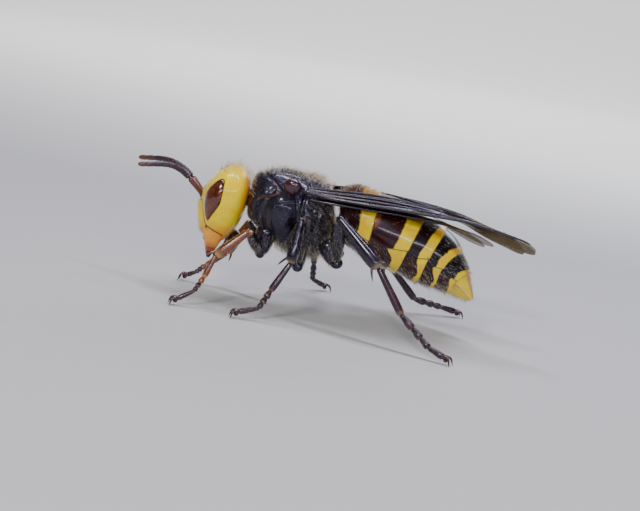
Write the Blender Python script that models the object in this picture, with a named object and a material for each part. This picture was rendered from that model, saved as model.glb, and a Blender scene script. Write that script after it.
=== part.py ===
"""Asian giant hornet, a still life-size model of a queen, standing on the floor.

Everything is drawn in millimetres and turned to metres at the end. The hornet faces -X,
its left side is at -Y and up is +Z. Body parts are drawn upright on the mid-plane and
then leaned together a few degrees; legs and claws are drawn where they stand.
"""
import math

import bmesh
import bpy
from mathutils import Matrix, Vector

MM = 0.001
GAP = 0.3
HALF_GAP = GAP / 2
# Two faceted faces come this much closer than the round shapes that they stand for.
FACET = 0.1
LEAN = math.radians(4.5)
LEAN_HEIGHT = 12.0
CENTRE_X = 2.2
CENTRE_Y = -0.14
SIDES = (("left", -1), ("right", 1))

# Body outlines: each section has its front or top point (x, z), its rear or bottom
# point (x, z) and its half width. The head runs from the mouth up to the crown.
HEAD = (
    ((-15.3, 9.0), (-12.9, 8.4), 2.0),
    ((-15.7, 9.8), (-11.9, 9.2), 3.1),
    ((-16.1, 11.3), (-10.85, 10.8), 4.4),
    ((-16.4, 13.2), (-10.1, 13.0), 5.35),
    ((-16.35, 15.2), (-9.75, 15.2), 5.9),
    ((-15.85, 16.9), (-9.75, 17.0), 5.75),
    ((-14.8, 18.3), (-10.2, 18.6), 4.7),
    ((-13.7, 19.3), (-11.0, 19.45), 3.0),
    ((-12.8, 19.75), (-11.8, 19.8), 1.2),
)
THORAX = (
    ((-9.3, 18.1), (-9.5, 14.0), 3.6),
    ((-9.05, 19.0), (-9.1, 12.6), 4.2),
    ((-7.9, 19.8), (-7.6, 11.3), 4.7),
    ((-5.4, 20.6), (-5.4, 9.8), 5.35),
    ((-2.9, 20.5), (-3.2, 8.7), 5.5),
    ((-0.6, 20.0), (-0.8, 8.3), 5.2),
    ((1.2, 19.3), (1.2, 8.5), 4.5),
    ((2.3, 17.6), (2.5, 9.6), 3.6),
    ((2.9, 15.8), (3.1, 11.0), 2.4),
)
# The gaster's sections stand square to its bent axis; whole numbers of its scale are the
# hind margins of its segments, with one section half way along each.
GASTER = (
    ((4.1, 14.7), (4.3, 12.5), 1.3),
    ((3.5, 18.4), (5.4, 11.0), 4.3),
    ((5.6, 19.75), (6.6, 10.5), 5.4),
    ((9.1, 19.4), (8.2, 9.6), 6.0),
    ((12.7, 18.8), (10.8, 8.7), 6.3),
    ((16.1, 17.7), (13.3, 8.2), 6.2),
    ((17.9, 17.0), (15.1, 7.6), 5.9),
    ((19.4, 16.1), (16.7, 7.2), 5.5),
    ((21.0, 14.9), (18.1, 7.0), 5.0),
    ((22.3, 13.4), (19.4, 6.8), 4.4),
    ((23.3, 11.9), (20.5, 6.6), 3.7),
    ((24.1, 10.3), (21.6, 6.35), 2.9),
    ((24.7, 8.6), (22.9, 6.1), 1.95),
    ((25.2, 6.7), (24.3, 5.8), 0.85),
)
EYE = (-14.45, 4.75, 14.65)
EYE_SIZE = (1.25, 1.5, 3.5)
EYE_TURN = math.radians(24)
EYE_TILT = math.radians(14)
CLYPEUS = (-15.25, 0, 11.3)
CLYPEUS_SIZE = (1.2, 2.7, 2.7)
CLYPEUS_TILT = math.radians(6)
MANDIBLE = ((-13.8, 2.7, 10.8), (-13.85, 2.35, 9.3), (-13.95, 1.6, 7.6), (-14.15, 0.85, 5.9))
MANDIBLE_RADII = (1.2, 1.42, 1.3, 0.88, 0.42)
MANDIBLE_FLATNESS = 0.62
MOUTHPARTS = ((-10.7, 0, 10.4), (-11.2, 0, 8.4), (-12.3, 0, 6.9))
MOUTHPART_RADII = (1.2, 1.15, 0.9, 0.55)
MOUTHPART_WIDTH = 1.4
HEAD_POWERS = (2.2, 3.2)
THORAX_POWERS = (2.25, 2.25)
GASTER_POWERS = (2.1, 2.1)
# Raised plates of the back: the scutellum and, behind the parting, the metanotum.
BACK_PLATES = (("mesothorax", (-0.65, 0, 19.65), (1.0, 2.3, 0.8)),
               ("propodeum", (1.75, 0, 18.75), (0.5, 1.9, 0.75)))
BACK_SLOPE = math.radians(14)
# The saddle is the form of the mesothorax, which parts it from the pronotum in front.
SADDLE = (-1.6, 0, 14.9)
SADDLE_SIZE = (7.0, 6.2, 9.5)
REAR_PARTING = (0.95, 0, 14.0)
REAR_PARTING_DIRECTION = (1, 0, 0.12)
TEGULA = (-3.5, 5.35, 18.45)
TEGULA_SIZE = (1.3, 0.9, 1.25)
TEGULA_TURN = math.radians(20)
PETIOLE = ((2.0, 0, 13.4), (5.2, 0, 13.6))
PETIOLE_RADII = (0.95, 0.9, 0.95)
PETIOLE_END = 3.88
OCELLI = ((-14.15, 0, 18.95), (-13.5, 0.62, 19.3), (-13.5, -0.62, 19.3))
OCELLUS_RADIUS = 0.36
NECK_START = -11.2
NECK_END = -9.1
NECK_RADIUS = 1.5
MARGINS = (0.0, 3.0, 5.0, 7.0, 9.0, 11.0, 13.0)
STEP_OUT = 0.16

# Centre lines of the legs, one row each: hip, knee, ankle, end of the first tarsal
# joint, end of the fourth and the root of the claws.
LEGS = {
    "front_left": ((-6.5, -3.0, 7.9), (-8.5, -7.0, 11.8), (-12.6, -8.0, 7.6),
                   (-13.7, -8.8, 4.5), (-14.7, -9.3, 2.4), (-16.8, -9.8, 1.0)),
    "front_right": ((-6.5, 3.0, 7.9), (-9.3, 6.6, 10.9), (-12.0, 6.3, 5.3),
                    (-14.8, 6.4, 3.0), (-16.1, 6.4, 1.7), (-17.4, 6.5, 1.0)),
    "middle_left": ((-0.9, -4.1, 7.0), (-1.4, -7.6, 15.2), (-1.9, -9.0, 8.6),
                    (-4.0, -10.2, 4.5), (-5.2, -10.8, 1.9), (-7.9, -11.3, 1.0)),
    "middle_right": ((-0.9, 4.1, 7.0), (-0.7, 8.2, 14.8), (0.7, 12.0, 8.6),
                     (1.3, 14.0, 4.6), (1.5, 15.2, 1.9), (3.3, 16.4, 1.0)),
    "hind_left": ((4.6, -3.7, 8.4), (3.6, -7.8, 16.2), (10.5, -11.0, 10.5),
                  (14.6, -13.6, 5.1), (19.0, -15.9, 1.7), (21.2, -16.8, 1.0)),
    "hind_right": ((4.6, 3.7, 8.4), (4.6, 8.6, 15.6), (13.0, 9.2, 7.2),
                   (17.6, 11.4, 2.4), (21.9, 13.2, 1.5), (24.4, 14.0, 1.0)),
}
COXA_TOPS = {"front": (-6.2, 2.4, 12.5), "middle": (-1.6, 2.6, 11.0), "hind": (2.2, 2.6, 11.8)}
LEG_THICKNESS = {"front": 0.95, "middle": 1.12, "hind": 1.28}
SPURS = {"front": 1, "middle": 2, "hind": 2}
COXA_RADIUS = 1.45
FEMUR_RADII = (0.62, 0.78, 0.95, 0.9, 0.72)
TIBIA_RADII = (0.58, 0.62, 0.72, 0.8, 0.76)
TARSUS_RADII = (0.36, 0.5)
SPUR_LENGTH = 1.7
SPUR_RADII = (0.26, 0.24, 0.09)
CLAW_RADII = (0.28, 0.26, 0.2, 0.12)
PAD_RADII = (0.34, 0.34, 0.3)

SCAPE_RADII = (0.42, 0.42, 0.5, 0.52, 0.46)
SCAPE = ((-16.3, 1.25, 14.6), (-17.3, 1.6, 15.7), (-18.6, 2.0, 16.9))
FLAGELLUM = {
    "left": ((-18.6, -2.0, 16.9), (-20.0, -2.7, 17.9), (-22.0, -3.5, 18.35), (-25.9, -5.0, 17.8)),
    "right": ((-18.6, 2.0, 16.9), (-20.2, 2.7, 17.9), (-22.7, 3.5, 18.6), (-27.2, 5.0, 18.1)),
}
FLAGELLUM_JOINTS = 11
FLAGELLUM_RADIUS = 0.43

# Folded wings, left side, in the leaning body's own measures: the front (costal) edge
# and the rear edge of each strip, point by point from the root to the tip.
FOREWING_FRONT = ((-1.9, -5.8, 18.0), (2.0, -6.9, 17.75), (7.8, -7.9, 17.85), (12.6, -8.3, 17.95),
                  (17.4, -8.5, 18.0), (22.0, -8.3, 17.95), (26.0, -7.9, 17.4), (30.0, -7.2, 16.7))
FOREWING_REAR = ((-1.9, -5.2, 18.6), (2.0, -4.9, 18.95), (7.8, -4.2, 19.3), (12.6, -4.0, 19.15),
                 (17.4, -4.2, 18.5), (22.0, -4.6, 17.5), (26.0, -4.7, 16.1), (30.0, -5.2, 15.2))
FOREWING_TIP = (32.2, -6.4, 15.4)
HINDWING_FRONT = ((-0.8, -5.8, 17.0), (3.0, -6.5, 17.0), (10.0, -7.0, 17.1),
                  (17.0, -7.3, 17.0), (23.0, -7.1, 16.4))
HINDWING_REAR = ((-0.8, -5.3, 17.3), (3.0, -5.2, 17.95), (10.0, -5.3, 18.2),
                 (17.0, -5.0, 17.2), (23.0, -5.2, 15.5))
HINDWING_TIP = (26.2, -6.1, 15.1)
WING_THICKNESS = 0.5
VEIN_HEIGHT = 0.18
CROSS_VEIN_SPREAD = 0.009
WING_CAMBER = 0.06
LAST_PLACE = 0.985
FOREWING_ROWS = (0, 0.08, 0.17, 0.38, 0.46, 0.54, 0.8, 0.88, 1.0)
FOREWING_VEINS = {1: (0.0, 0.96), 4: (0.04, 0.86), 7: (0.04, 0.62)}
FOREWING_CROSS_VEINS = {0.36: (4, 7), 0.52: (1, 4), 0.62: (4, 7), 0.8: (1, 4)}
HINDWING_ROWS = (0, 0.13, 0.28, 0.5, 0.64, 0.8, 1.0)
HINDWING_VEINS = {1: (0.0, 0.7), 4: (0.1, 0.66)}
HINDWING_CROSS_VEINS = {0.5: (1, 4)}
RIGHT_WING_DROOP = 1.3


def clear_scene():
    """Start from an empty scene."""
    for thing in list(bpy.data.objects):
        bpy.data.objects.remove(thing, do_unlink=True)


def material(name, colour, roughness):
    """A Principled material of one colour."""
    made = bpy.data.materials.new(name)
    made.use_nodes = True
    shader = made.node_tree.nodes["Principled BSDF"]
    shader.inputs["Base Color"].default_value = (*colour, 1.0)
    shader.inputs["Roughness"].default_value = roughness
    shader.inputs["Metallic"].default_value = 0.0
    return made


def curve_point(keys, place):
    """The point at a place, counted in keys, on a smooth curve through the keys."""
    index = min(max(int(place), 0), len(keys) - 2)
    part = place - index
    p1, p2 = Vector(keys[index]), Vector(keys[index + 1])
    before = Vector(keys[index - 1]) if index else p1 * 2 - p2
    after = Vector(keys[index + 2]) if index + 2 < len(keys) else p2 * 2 - p1
    bend1, bend2 = (p2 - before) / 2, (after - p1) / 2
    return (p1 * (2 * part**3 - 3 * part**2 + 1) + bend1 * (part**3 - 2 * part**2 + part)
            + p2 * (3 * part**2 - 2 * part**3) + bend2 * (part**3 - part**2))


def skin_rings(rings):
    """A closed mesh through rings of points, all with as many points, with flat ends."""
    bm = bmesh.new()
    sides = len(rings[0])
    loop = bmesh.ops.create_circle(bm, cap_ends=False, radius=1, segments=sides)["verts"]
    first = list(loop)
    edges = [edge for edge in bm.edges]
    for vertex, point in zip(loop, rings[0]):
        vertex.co = point
    for ring in rings[1:]:
        made = bmesh.ops.extrude_edge_only(bm, edges=edges)["geom"]
        new = [item for item in made if isinstance(item, bmesh.types.BMVert)]
        edges = [item for item in made if isinstance(item, bmesh.types.BMEdge)]
        follows = {}
        for vertex in new:
            partner = [edge.other_vert(vertex) for edge in vertex.link_edges
                       if edge.other_vert(vertex) in loop]
            follows[partner[0]] = vertex
        loop = [follows[vertex] for vertex in loop]
        for vertex, point in zip(loop, ring):
            vertex.co = point
    bmesh.ops.contextual_create(bm, geom=first)
    bmesh.ops.contextual_create(bm, geom=loop)
    bmesh.ops.recalc_face_normals(bm, faces=bm.faces)
    return bm


def thing(bm, name):
    """An object in the scene from a bmesh, in millimetres."""
    mesh = bpy.data.meshes.new(name)
    bmesh.ops.triangulate(bm, faces=bm.faces)
    bm.to_mesh(mesh)
    bm.free()
    made = bpy.data.objects.new(name, mesh)
    bpy.context.collection.objects.link(made)
    return made


def largest_shell(bm):
    """Keep only the largest closed surface."""
    left = set(bm.verts)
    shells = []
    while left:
        seed = left.pop()
        shell, edge_of_shell = {seed}, [seed]
        while edge_of_shell:
            vertex = edge_of_shell.pop()
            for edge in vertex.link_edges:
                other = edge.other_vert(vertex)
                if other in left:
                    left.remove(other)
                    shell.add(other)
                    edge_of_shell.append(other)
        shells.append(shell)
    shells.sort(key=lambda shell: spread(shell), reverse=True)
    for shell in shells[1:]:
        bmesh.ops.delete(bm, geom=list(shell), context="VERTS")


def spread(shell):
    """How far a set of vertices reaches, as the diagonal of its box."""
    low = Vector([min(v.co[axis] for v in shell) for axis in range(3)])
    high = Vector([max(v.co[axis] for v in shell) for axis in range(3)])
    return (high - low).length


def combine(base, others, operation):
    """Join other things to a base or cut them from it, all closed."""
    group = bpy.data.collections.new("combine")
    for other in others:
        group.objects.link(other)
    change = base.modifiers.new("combine", "BOOLEAN")
    change.operand_type = "COLLECTION"
    change.collection = group
    change.operation = operation
    change.solver = "EXACT"
    bpy.context.view_layer.update()
    shape = base.evaluated_get(bpy.context.evaluated_depsgraph_get())
    mesh = bpy.data.meshes.new_from_object(shape)
    base.modifiers.clear()
    base.data = mesh
    for other in others:
        bpy.data.objects.remove(other, do_unlink=True)
    bpy.data.collections.remove(group)
    bm = bmesh.new()
    bm.from_mesh(base.data)
    bmesh.ops.remove_doubles(bm, verts=bm.verts, dist=0.0005)
    bmesh.ops.dissolve_degenerate(bm, edges=bm.edges, dist=0.0005)
    bmesh.ops.triangulate(bm, faces=bm.faces)
    largest_shell(bm)
    bm.to_mesh(base.data)
    bm.free()
    return base


def finish(made, name, finish_material, leaning=False):
    """Name a thing, turn it to metres about the model's origin and colour it."""
    place = Matrix.Translation((-CENTRE_X, -CENTRE_Y, 0))
    if leaning:
        place = place @ lean_matrix()
    made.data.transform(Matrix.Scale(MM, 4) @ place)
    made.name = name
    made.data.name = name
    made.data.materials.clear()
    made.data.materials.append(finish_material)
    made.data.shade_smooth()
    made.data.set_sharp_from_angle(angle=math.radians(40))
    return made


def lean_matrix():
    """The lean of the body about a line along X."""
    pivot = Vector((0, 0, LEAN_HEIGHT))
    return Matrix.Translation(pivot) @ Matrix.Rotation(-LEAN, 4, "X") @ Matrix.Translation(-pivot)


def leaned(made):
    """Lean a thing now, so that standing parts can be cut to it."""
    made.data.transform(lean_matrix())
    return made


def cut_plane(made, point, direction):
    """Cut a thing flat, removing what lies past the point along the direction."""
    bm = bmesh.new()
    bm.from_mesh(made.data)
    geometry = bm.verts[:] + bm.edges[:] + bm.faces[:]
    cut = bmesh.ops.bisect_plane(bm, geom=geometry, dist=0.0001, plane_co=point,
                                 plane_no=direction, clear_outer=True)["geom_cut"]
    rim = [item for item in cut if isinstance(item, bmesh.types.BMEdge)]
    if rim:
        bmesh.ops.edgeloop_fill(bm, edges=rim)
    bmesh.ops.remove_doubles(bm, verts=bm.verts, dist=0.001)
    bmesh.ops.triangulate(bm, faces=bm.faces)
    bmesh.ops.recalc_face_normals(bm, faces=bm.faces)
    bm.to_mesh(made.data)
    bm.free()
    return made


def body_ring(section, sides, grow=0.0, powers=(2.2, 2.2), shift=0.0):
    """One ring of a body outline, grown all round and shifted along the axis.

    The powers square off the side of the section's first point and of its second.
    """
    front, back, half_width = section[0], section[1], section[2]
    top, bottom = Vector((front[0], 0, front[1])), Vector((back[0], 0, back[1]))
    centre, reach = (top + bottom) / 2, (top - bottom) / 2
    up = reach * (1 + grow / reach.length)
    across = Vector((0, half_width + grow, 0))
    along = across.cross(up).normalized() * shift
    points = []
    for step in range(sides):
        angle = math.tau * step / sides
        c, s = math.cos(angle), math.sin(angle)
        power = powers[0] if c > 0 else powers[1]
        rise = math.copysign(abs(c) ** (2 / power), c)
        side = math.copysign(abs(s) ** (2 / power), s)
        points.append(centre + up * rise + across * side + along)
    return points


def outline_section(outline, place):
    """The section at a place on a body outline."""
    front = curve_point([(*row[0], row[2]) for row in outline], place)
    back = curve_point([(*row[1], 0) for row in outline], place)
    return (front.x, front.y), (back.x, back.y), max(front.z, 0.3)


def body_form(outline, name, count, sides, grow=0.0, powers=(2.2, 2.2)):
    """A closed form through a whole outline; grown, its ends move out as well."""
    rings = []
    for step in range(count + 1):
        section = outline_section(outline, (len(outline) - 1) * step / count)
        shift = grow * ((step == count) - (step == 0))
        rings.append(body_ring(section, sides, grow, powers, shift))
    return thing(skin_rings(rings), name)


def ellipsoid(name, centre, half_sizes, turn=None, segments=16, rings=10):
    """A closed ellipsoid, turned by a matrix about its centre."""
    bm = bmesh.new()
    place = Matrix.Translation(centre) @ (turn or Matrix()) @ Matrix.Diagonal((*half_sizes, 1))
    bmesh.ops.create_uvsphere(bm, u_segments=segments, v_segments=rings, radius=1, matrix=place)
    return thing(bm, name)


def frame_along(direction, hint):
    """Two directions square to a direction, the first one nearest to the hint."""
    ahead = direction.normalized()
    side = (hint - ahead * hint.dot(ahead)).normalized()
    return side, ahead.cross(side)


def rod(name, points, radii, sides=10, flat=1.0, hint=(0, 0, 1), round_ends=True):
    """A rod along a smooth line through the points, its radii spaced along it."""
    points = [Vector(point) for point in points]
    count = len(radii) - 1
    stops = [(len(points) - 1) * step / count for step in range(count + 1)]
    centres = [curve_point(points, stop) if len(points) > 2
               else points[0].lerp(points[1], stop) for stop in stops]
    rings = []
    for index, (centre, radius) in enumerate(zip(centres, radii)):
        ahead = centres[min(index + 1, count)] - centres[max(index - 1, 0)]
        side, other = frame_along(ahead, Vector(hint))
        rings.append((centre, radius, side, other, ahead.normalized()))
    if round_ends:
        centre, radius, side, other, ahead = rings[0]
        start = [(centre - ahead * radius * 0.9, radius * 0.35, side, other, ahead),
                 (centre - ahead * radius * 0.6, radius * 0.8, side, other, ahead)]
        centre, radius, side, other, ahead = rings[-1]
        end = [(centre + ahead * radius * 0.6, radius * 0.8, side, other, ahead),
               (centre + ahead * radius * 0.9, radius * 0.35, side, other, ahead)]
        rings = start + rings + end
    loops = []
    for centre, radius, side, other, _ in rings:
        turns = [math.tau * step / sides for step in range(sides)]
        loops.append([centre + side * radius * math.cos(turn) + other * radius * flat * math.sin(turn)
                      for turn in turns])
    return thing(skin_rings(loops), name)


def half_way(first, joint, last):
    """The direction square to the mitre plane between two pieces that meet at a joint."""
    inward = (joint - first).normalized()
    outward = (last - joint).normalized()
    return (inward + outward).normalized()


def mitre(made, joint, direction, keep_before):
    """Cut a thing at a joint's mitre plane, half the gap back from it."""
    sign = 1 if keep_before else -1
    return cut_plane(made, joint - direction * HALF_GAP * sign, direction * sign)


def build_head(colours):
    """Head with its raised clypeus, sockets for the eyes, and the eyes."""
    head = body_form(HEAD, "head", 16, 26, powers=HEAD_POWERS)
    clypeus = ellipsoid("clypeus", CLYPEUS, CLYPEUS_SIZE, Matrix.Rotation(CLYPEUS_TILT, 4, "Y"))
    eye_balls = []
    for side, sign in SIDES:
        turn = Matrix.Rotation(-EYE_TURN * sign, 4, "Z") @ Matrix.Rotation(EYE_TILT, 4, "Y")
        eye_balls.append((side, (EYE[0], EYE[1] * sign, EYE[2]), turn))
    neck_hole = neck_rod(GAP)
    sockets = [ellipsoid("socket", centre, [size + GAP for size in EYE_SIZE], turn)
               for _, centre, turn in eye_balls]
    ocelli = [ellipsoid("ocellus", centre, [OCELLUS_RADIUS] * 3, None, 8, 6) for centre in OCELLI]
    combine(head, [clypeus] + ocelli, "UNION")
    combine(head, sockets + [neck_hole], "DIFFERENCE")
    for side, centre, turn in eye_balls:
        eye = ellipsoid("eye", centre, EYE_SIZE, turn)
        finish(eye, "eye_" + side, colours["eye"], leaning=True)
    return head


def neck_rod(grow=0.0):
    """The short neck, which is sunk in the head and in the pronotum."""
    line = ((NECK_START - grow, 0, 15.4), (NECK_END + grow, 0, 15.4))
    return rod("neck", line, [NECK_RADIUS + grow] * 3, sides=16, round_ends=False)


def build_mouth(head, colours):
    """Mandibles that meet on the mid-plane, with the folded mouthparts behind them."""
    for side, sign in SIDES:
        line = [Vector((x, y * sign, z)) for x, y, z in MANDIBLE]
        jaw = rod("jaw", line, MANDIBLE_RADII, sides=12, flat=MANDIBLE_FLATNESS, hint=(1, 0, 0))
        cut_plane(jaw, Vector((0, sign * HALF_GAP, 0)), Vector((0, -sign, 0)))
        combine(jaw, [head_cutter()], "DIFFERENCE")
        finish(jaw, "mandible_" + side, colours["orange"], leaning=True)
    lips = rod("lips", MOUTHPARTS, MOUTHPART_RADII, sides=12, flat=MOUTHPART_WIDTH, hint=(1, 0, 0))
    combine(lips, [head_cutter()], "DIFFERENCE")
    finish(lips, "mouthparts", colours["brown"], leaning=True)


def head_cutter():
    """The head's outer form, grown by the gap."""
    return body_form(HEAD, "head_cutter", 16, 26, grow=GAP + FACET, powers=HEAD_POWERS)


def build_antennae(head, colours):
    """Each antenna: a scape rooted in the face and a flagellum of short joints."""
    for side, sign in SIDES:
        line = [Vector((x, y * sign, z)) for x, y, z in SCAPE]
        flagellum_line = [Vector(point) for point in FLAGELLUM[side]]
        scape = rod("scape", line, SCAPE_RADII, sides=10)
        socket = rod("socket", line[:2], (SCAPE_RADII[0] + GAP, SCAPE_RADII[1] + GAP), sides=10)
        combine(head, [socket], "DIFFERENCE")
        direction = half_way(line[-2], line[-1], flagellum_line[1])
        mitre(scape, line[-1], direction, keep_before=True)
        finish(scape, "antenna_scape_" + side, colours["orange"], leaning=True)
        radii = []
        for joint in range(FLAGELLUM_JOINTS):
            thin = 1 - 0.2 * joint / FLAGELLUM_JOINTS
            radii += [FLAGELLUM_RADIUS * thin * 0.9, FLAGELLUM_RADIUS * thin * 1.04]
        radii[0] = 0.34
        flagellum = rod("flagellum", flagellum_line, radii, sides=10)
        mitre(flagellum, line[-1], direction, keep_before=False)
        finish(flagellum, "antenna_flagellum_" + side, colours["brown"], leaning=True)


def thorax_form(grow=0.0):
    """The whole thorax before it is parted."""
    return body_form(THORAX, "thorax", 18, 28, grow=grow, powers=THORAX_POWERS)


def build_thorax(colours):
    """Neck, pronotum, mesothorax and propodeum, parted by narrow gaps."""
    neck = neck_rod()
    back_tilt = Matrix.Rotation(BACK_SLOPE, 4, "Y")
    parts = {}
    for name, grow, operation in (("pronotum", GAP, "DIFFERENCE"), ("mesothorax", 0.0, "INTERSECT")):
        part = thorax_form()
        saddle = ellipsoid("saddle", SADDLE, [size + grow for size in SADDLE_SIZE], back_tilt, 28, 16)
        combine(part, [saddle], operation)
        parts[name] = part
    combine(parts["pronotum"], [neck_rod(GAP)], "DIFFERENCE")
    rear = Vector(REAR_PARTING)
    rear_slope = Vector(REAR_PARTING_DIRECTION).normalized()
    parts["propodeum"] = thorax_form()
    for name, centre, half_sizes in BACK_PLATES:
        plate = ellipsoid("plate", centre, half_sizes, back_tilt)
        combine(parts[name], [plate], "UNION")
    cut_plane(parts["mesothorax"], rear - rear_slope * HALF_GAP, rear_slope)
    cut_plane(parts["propodeum"], rear + rear_slope * HALF_GAP, -rear_slope)
    for name, part in parts.items():
        finish(part, name, colours["black"], leaning=True)
    finish(neck, "neck", colours["brown"], leaning=True)
    for side, sign in SIDES:
        turn = Matrix.Rotation(-TEGULA_TURN * sign, 4, "X")
        centre = (TEGULA[0], TEGULA[1] * sign, TEGULA[2])
        scale = ellipsoid("scale", centre, TEGULA_SIZE, turn, 12, 8)
        combine(scale, [thorax_form(grow=GAP)], "DIFFERENCE")
        finish(scale, "tegula_" + side, colours["orange"], leaning=True)


def build_gaster(colours):
    """Petiole and six gaster segments, each one stepping out a little over the next."""
    petiole = rod("petiole", PETIOLE, PETIOLE_RADII, sides=14)
    combine(petiole, [thorax_form(grow=GAP)], "DIFFERENCE")
    cut_plane(petiole, Vector((PETIOLE_END, 0, PETIOLE[1][2])), Vector((1, 0, 0)))
    finish(petiole, "petiole", colours["brown"], leaning=True)
    for number in range(1, len(MARGINS)):
        start, end = MARGINS[number - 1], MARGINS[number]
        count = 7 if number == 1 else 4
        rings = []
        for step in range(count + 1):
            part = step / count
            section = outline_section(GASTER, start + (end - start) * part)
            shift = HALF_GAP if step == 0 and number > 1 else 0.0
            shift = -HALF_GAP if step == count and number < len(MARGINS) - 1 else shift
            step_out = STEP_OUT * (part - 0.5) if number > 1 else STEP_OUT * 0.5 * part
            rings.append(body_ring(section, 28, grow=step_out, powers=GASTER_POWERS, shift=shift))
        segment = thing(skin_rings(rings), "segment")
        finish(segment, "gaster_segment_%d" % number, colours["banded"], leaning=True)


def build_legs(colours):
    """Six legs, each a coxa, femur, tibia with spurs, and tarsus with claws."""
    for leg, line in LEGS.items():
        row, side = leg.split("_")
        sign = -1 if side == "left" else 1
        thick = LEG_THICKNESS[row]
        hip, knee, ankle, heel, toe_root, toe = [Vector(point) for point in line]
        top = Vector((COXA_TOPS[row][0], COXA_TOPS[row][1] * sign, COXA_TOPS[row][2]))
        hip_plane = half_way(top, hip, knee)
        knee_plane = half_way(hip, knee, ankle)
        ankle_plane = half_way(knee, ankle, heel)
        outward = Vector((0, sign, 0))

        coxa = rod("coxa", (top, hip), [COXA_RADIUS * r for r in (0.95, 1.0, 0.8, 0.5)], sides=12)
        mitre(coxa, hip, hip_plane, keep_before=True)
        combine(coxa, [leaned(thorax_form(grow=GAP + FACET))], "DIFFERENCE")
        finish(coxa, "coxa_" + leg, colours["black"])

        femur = rod("femur", (hip, knee), [thick * r for r in FEMUR_RADII], sides=10, flat=0.85)
        mitre(femur, hip, hip_plane, keep_before=False)
        mitre(femur, knee, knee_plane, keep_before=True)
        finish(femur, "femur_" + leg, colours["black"])

        tibia = rod("tibia", (knee, ankle), [thick * r for r in TIBIA_RADII], sides=10, flat=0.92)
        mitre(tibia, knee, knee_plane, keep_before=False)
        mitre(tibia, ankle, ankle_plane, keep_before=True)
        combine(tibia, spurs(row, knee, ankle, heel, thick, outward), "UNION")
        finish(tibia, "tibia_" + leg, colours["orange" if row == "front" else "black"])

        tarsus = build_tarsus(ankle, heel, toe_root, toe, thick, outward)
        mitre(tarsus, ankle, ankle_plane, keep_before=False)
        cut_plane(tarsus, Vector((0, 0, 0)), Vector((0, 0, -1)))
        finish(tarsus, "tarsus_" + leg, colours["orange" if row == "front" else "brown"])


def spurs(row, knee, ankle, heel, thick, outward):
    """The movable spurs at a tibia's end, clear of the tarsus."""
    ahead = (ankle - knee).normalized()
    onward = (heel - ankle).normalized()
    across = ahead.cross(outward).normalized()
    made = []
    for number in range(SPURS[row]):
        lean = across * (1 if number == 0 else -1)
        root = ankle - ahead * 0.75 * thick + lean * 0.5 * thick
        reach = (ahead * 0.4 + onward * 0.6 + lean * 0.55).normalized()
        tip = root + reach * SPUR_LENGTH * thick
        made.append(rod("spur", (root, tip), SPUR_RADII, sides=5, round_ends=False))
    return made


def build_tarsus(ankle, heel, toe_root, toe, thick, outward):
    """Five tarsal joints, each widest at its far end, with two claws and a pad."""
    slim, wide = TARSUS_RADII
    centres, radii = [ankle], [slim * thick]
    stops = [ankle, heel, heel.lerp(toe_root, 0.42), heel.lerp(toe_root, 0.72), toe_root, toe]
    for start, end in zip(stops, stops[1:]):
        centres += [start.lerp(end, 0.12), start.lerp(end, 0.9)]
        radii += [slim * thick * 0.82, wide * thick * 0.86]
    radii[1], radii[2] = 0.4 * thick, 0.5 * thick
    rings = []
    for index, (centre, radius) in enumerate(zip(centres, radii)):
        ahead = centres[min(index + 1, len(centres) - 1)] - centres[max(index - 1, 0)]
        side, other = frame_along(ahead, Vector((0, 0, 1)))
        turns = [math.tau * step / 6 for step in range(6)]
        rings.append([centre + side * radius * math.cos(turn) + other * radius * math.sin(turn)
                      for turn in turns])
    foot = thing(skin_rings(rings), "foot")
    ahead = toe - toe_root
    ahead.z = 0
    ahead.normalize()
    across = Vector((-ahead.y, ahead.x, 0))
    start = toe - (toe - toe_root).normalized() * 0.35
    pieces = [rod("pad", (start, toe + ahead * 0.45 + Vector((0, 0, -0.72))), PAD_RADII, sides=6)]
    for sign in (-1, 1):
        root = start + across * 0.1 * sign
        bend = toe + ahead * 0.75 + across * 0.55 * sign + Vector((0, 0, -0.1))
        tip = toe + ahead * 1.15 + across * 0.8 * sign + Vector((0, 0, -1.12))
        pieces.append(rod("claw", (root, bend, tip), CLAW_RADII, sides=5, round_ends=False))
    return combine(foot, pieces, "UNION")


def wing_edges(front, rear, tip, place):
    """Points of the front and rear edges at a place from 0 at the root to 1 at the tip."""
    count = len(front) - 1
    stop = min(place / 0.9, 1.0) * count
    near, far = curve_point(front, stop), curve_point(rear, stop)
    if place > 0.9:
        part = (place - 0.9) / 0.1
        closing = 1 - math.sqrt(max(1 - part * part, 0.0))
        middle = (near + far) / 2
        onward = Vector(tip) - (Vector(front[-1]) + Vector(rear[-1])) / 2
        near = near.lerp(middle, closing) + onward * part
        far = far.lerp(middle, closing) + onward * part
    return near, far


def vein_places(count, crossings):
    """Places along a wing: even ones, and three close together at each cross vein."""
    places = [step / count for step in range(count + 1)]
    for middle in crossings:
        places = [place for place in places if abs(place - middle) > 2 * CROSS_VEIN_SPREAD]
        places += [middle - CROSS_VEIN_SPREAD, middle, middle + CROSS_VEIN_SPREAD]
    return sorted(places)


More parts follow.
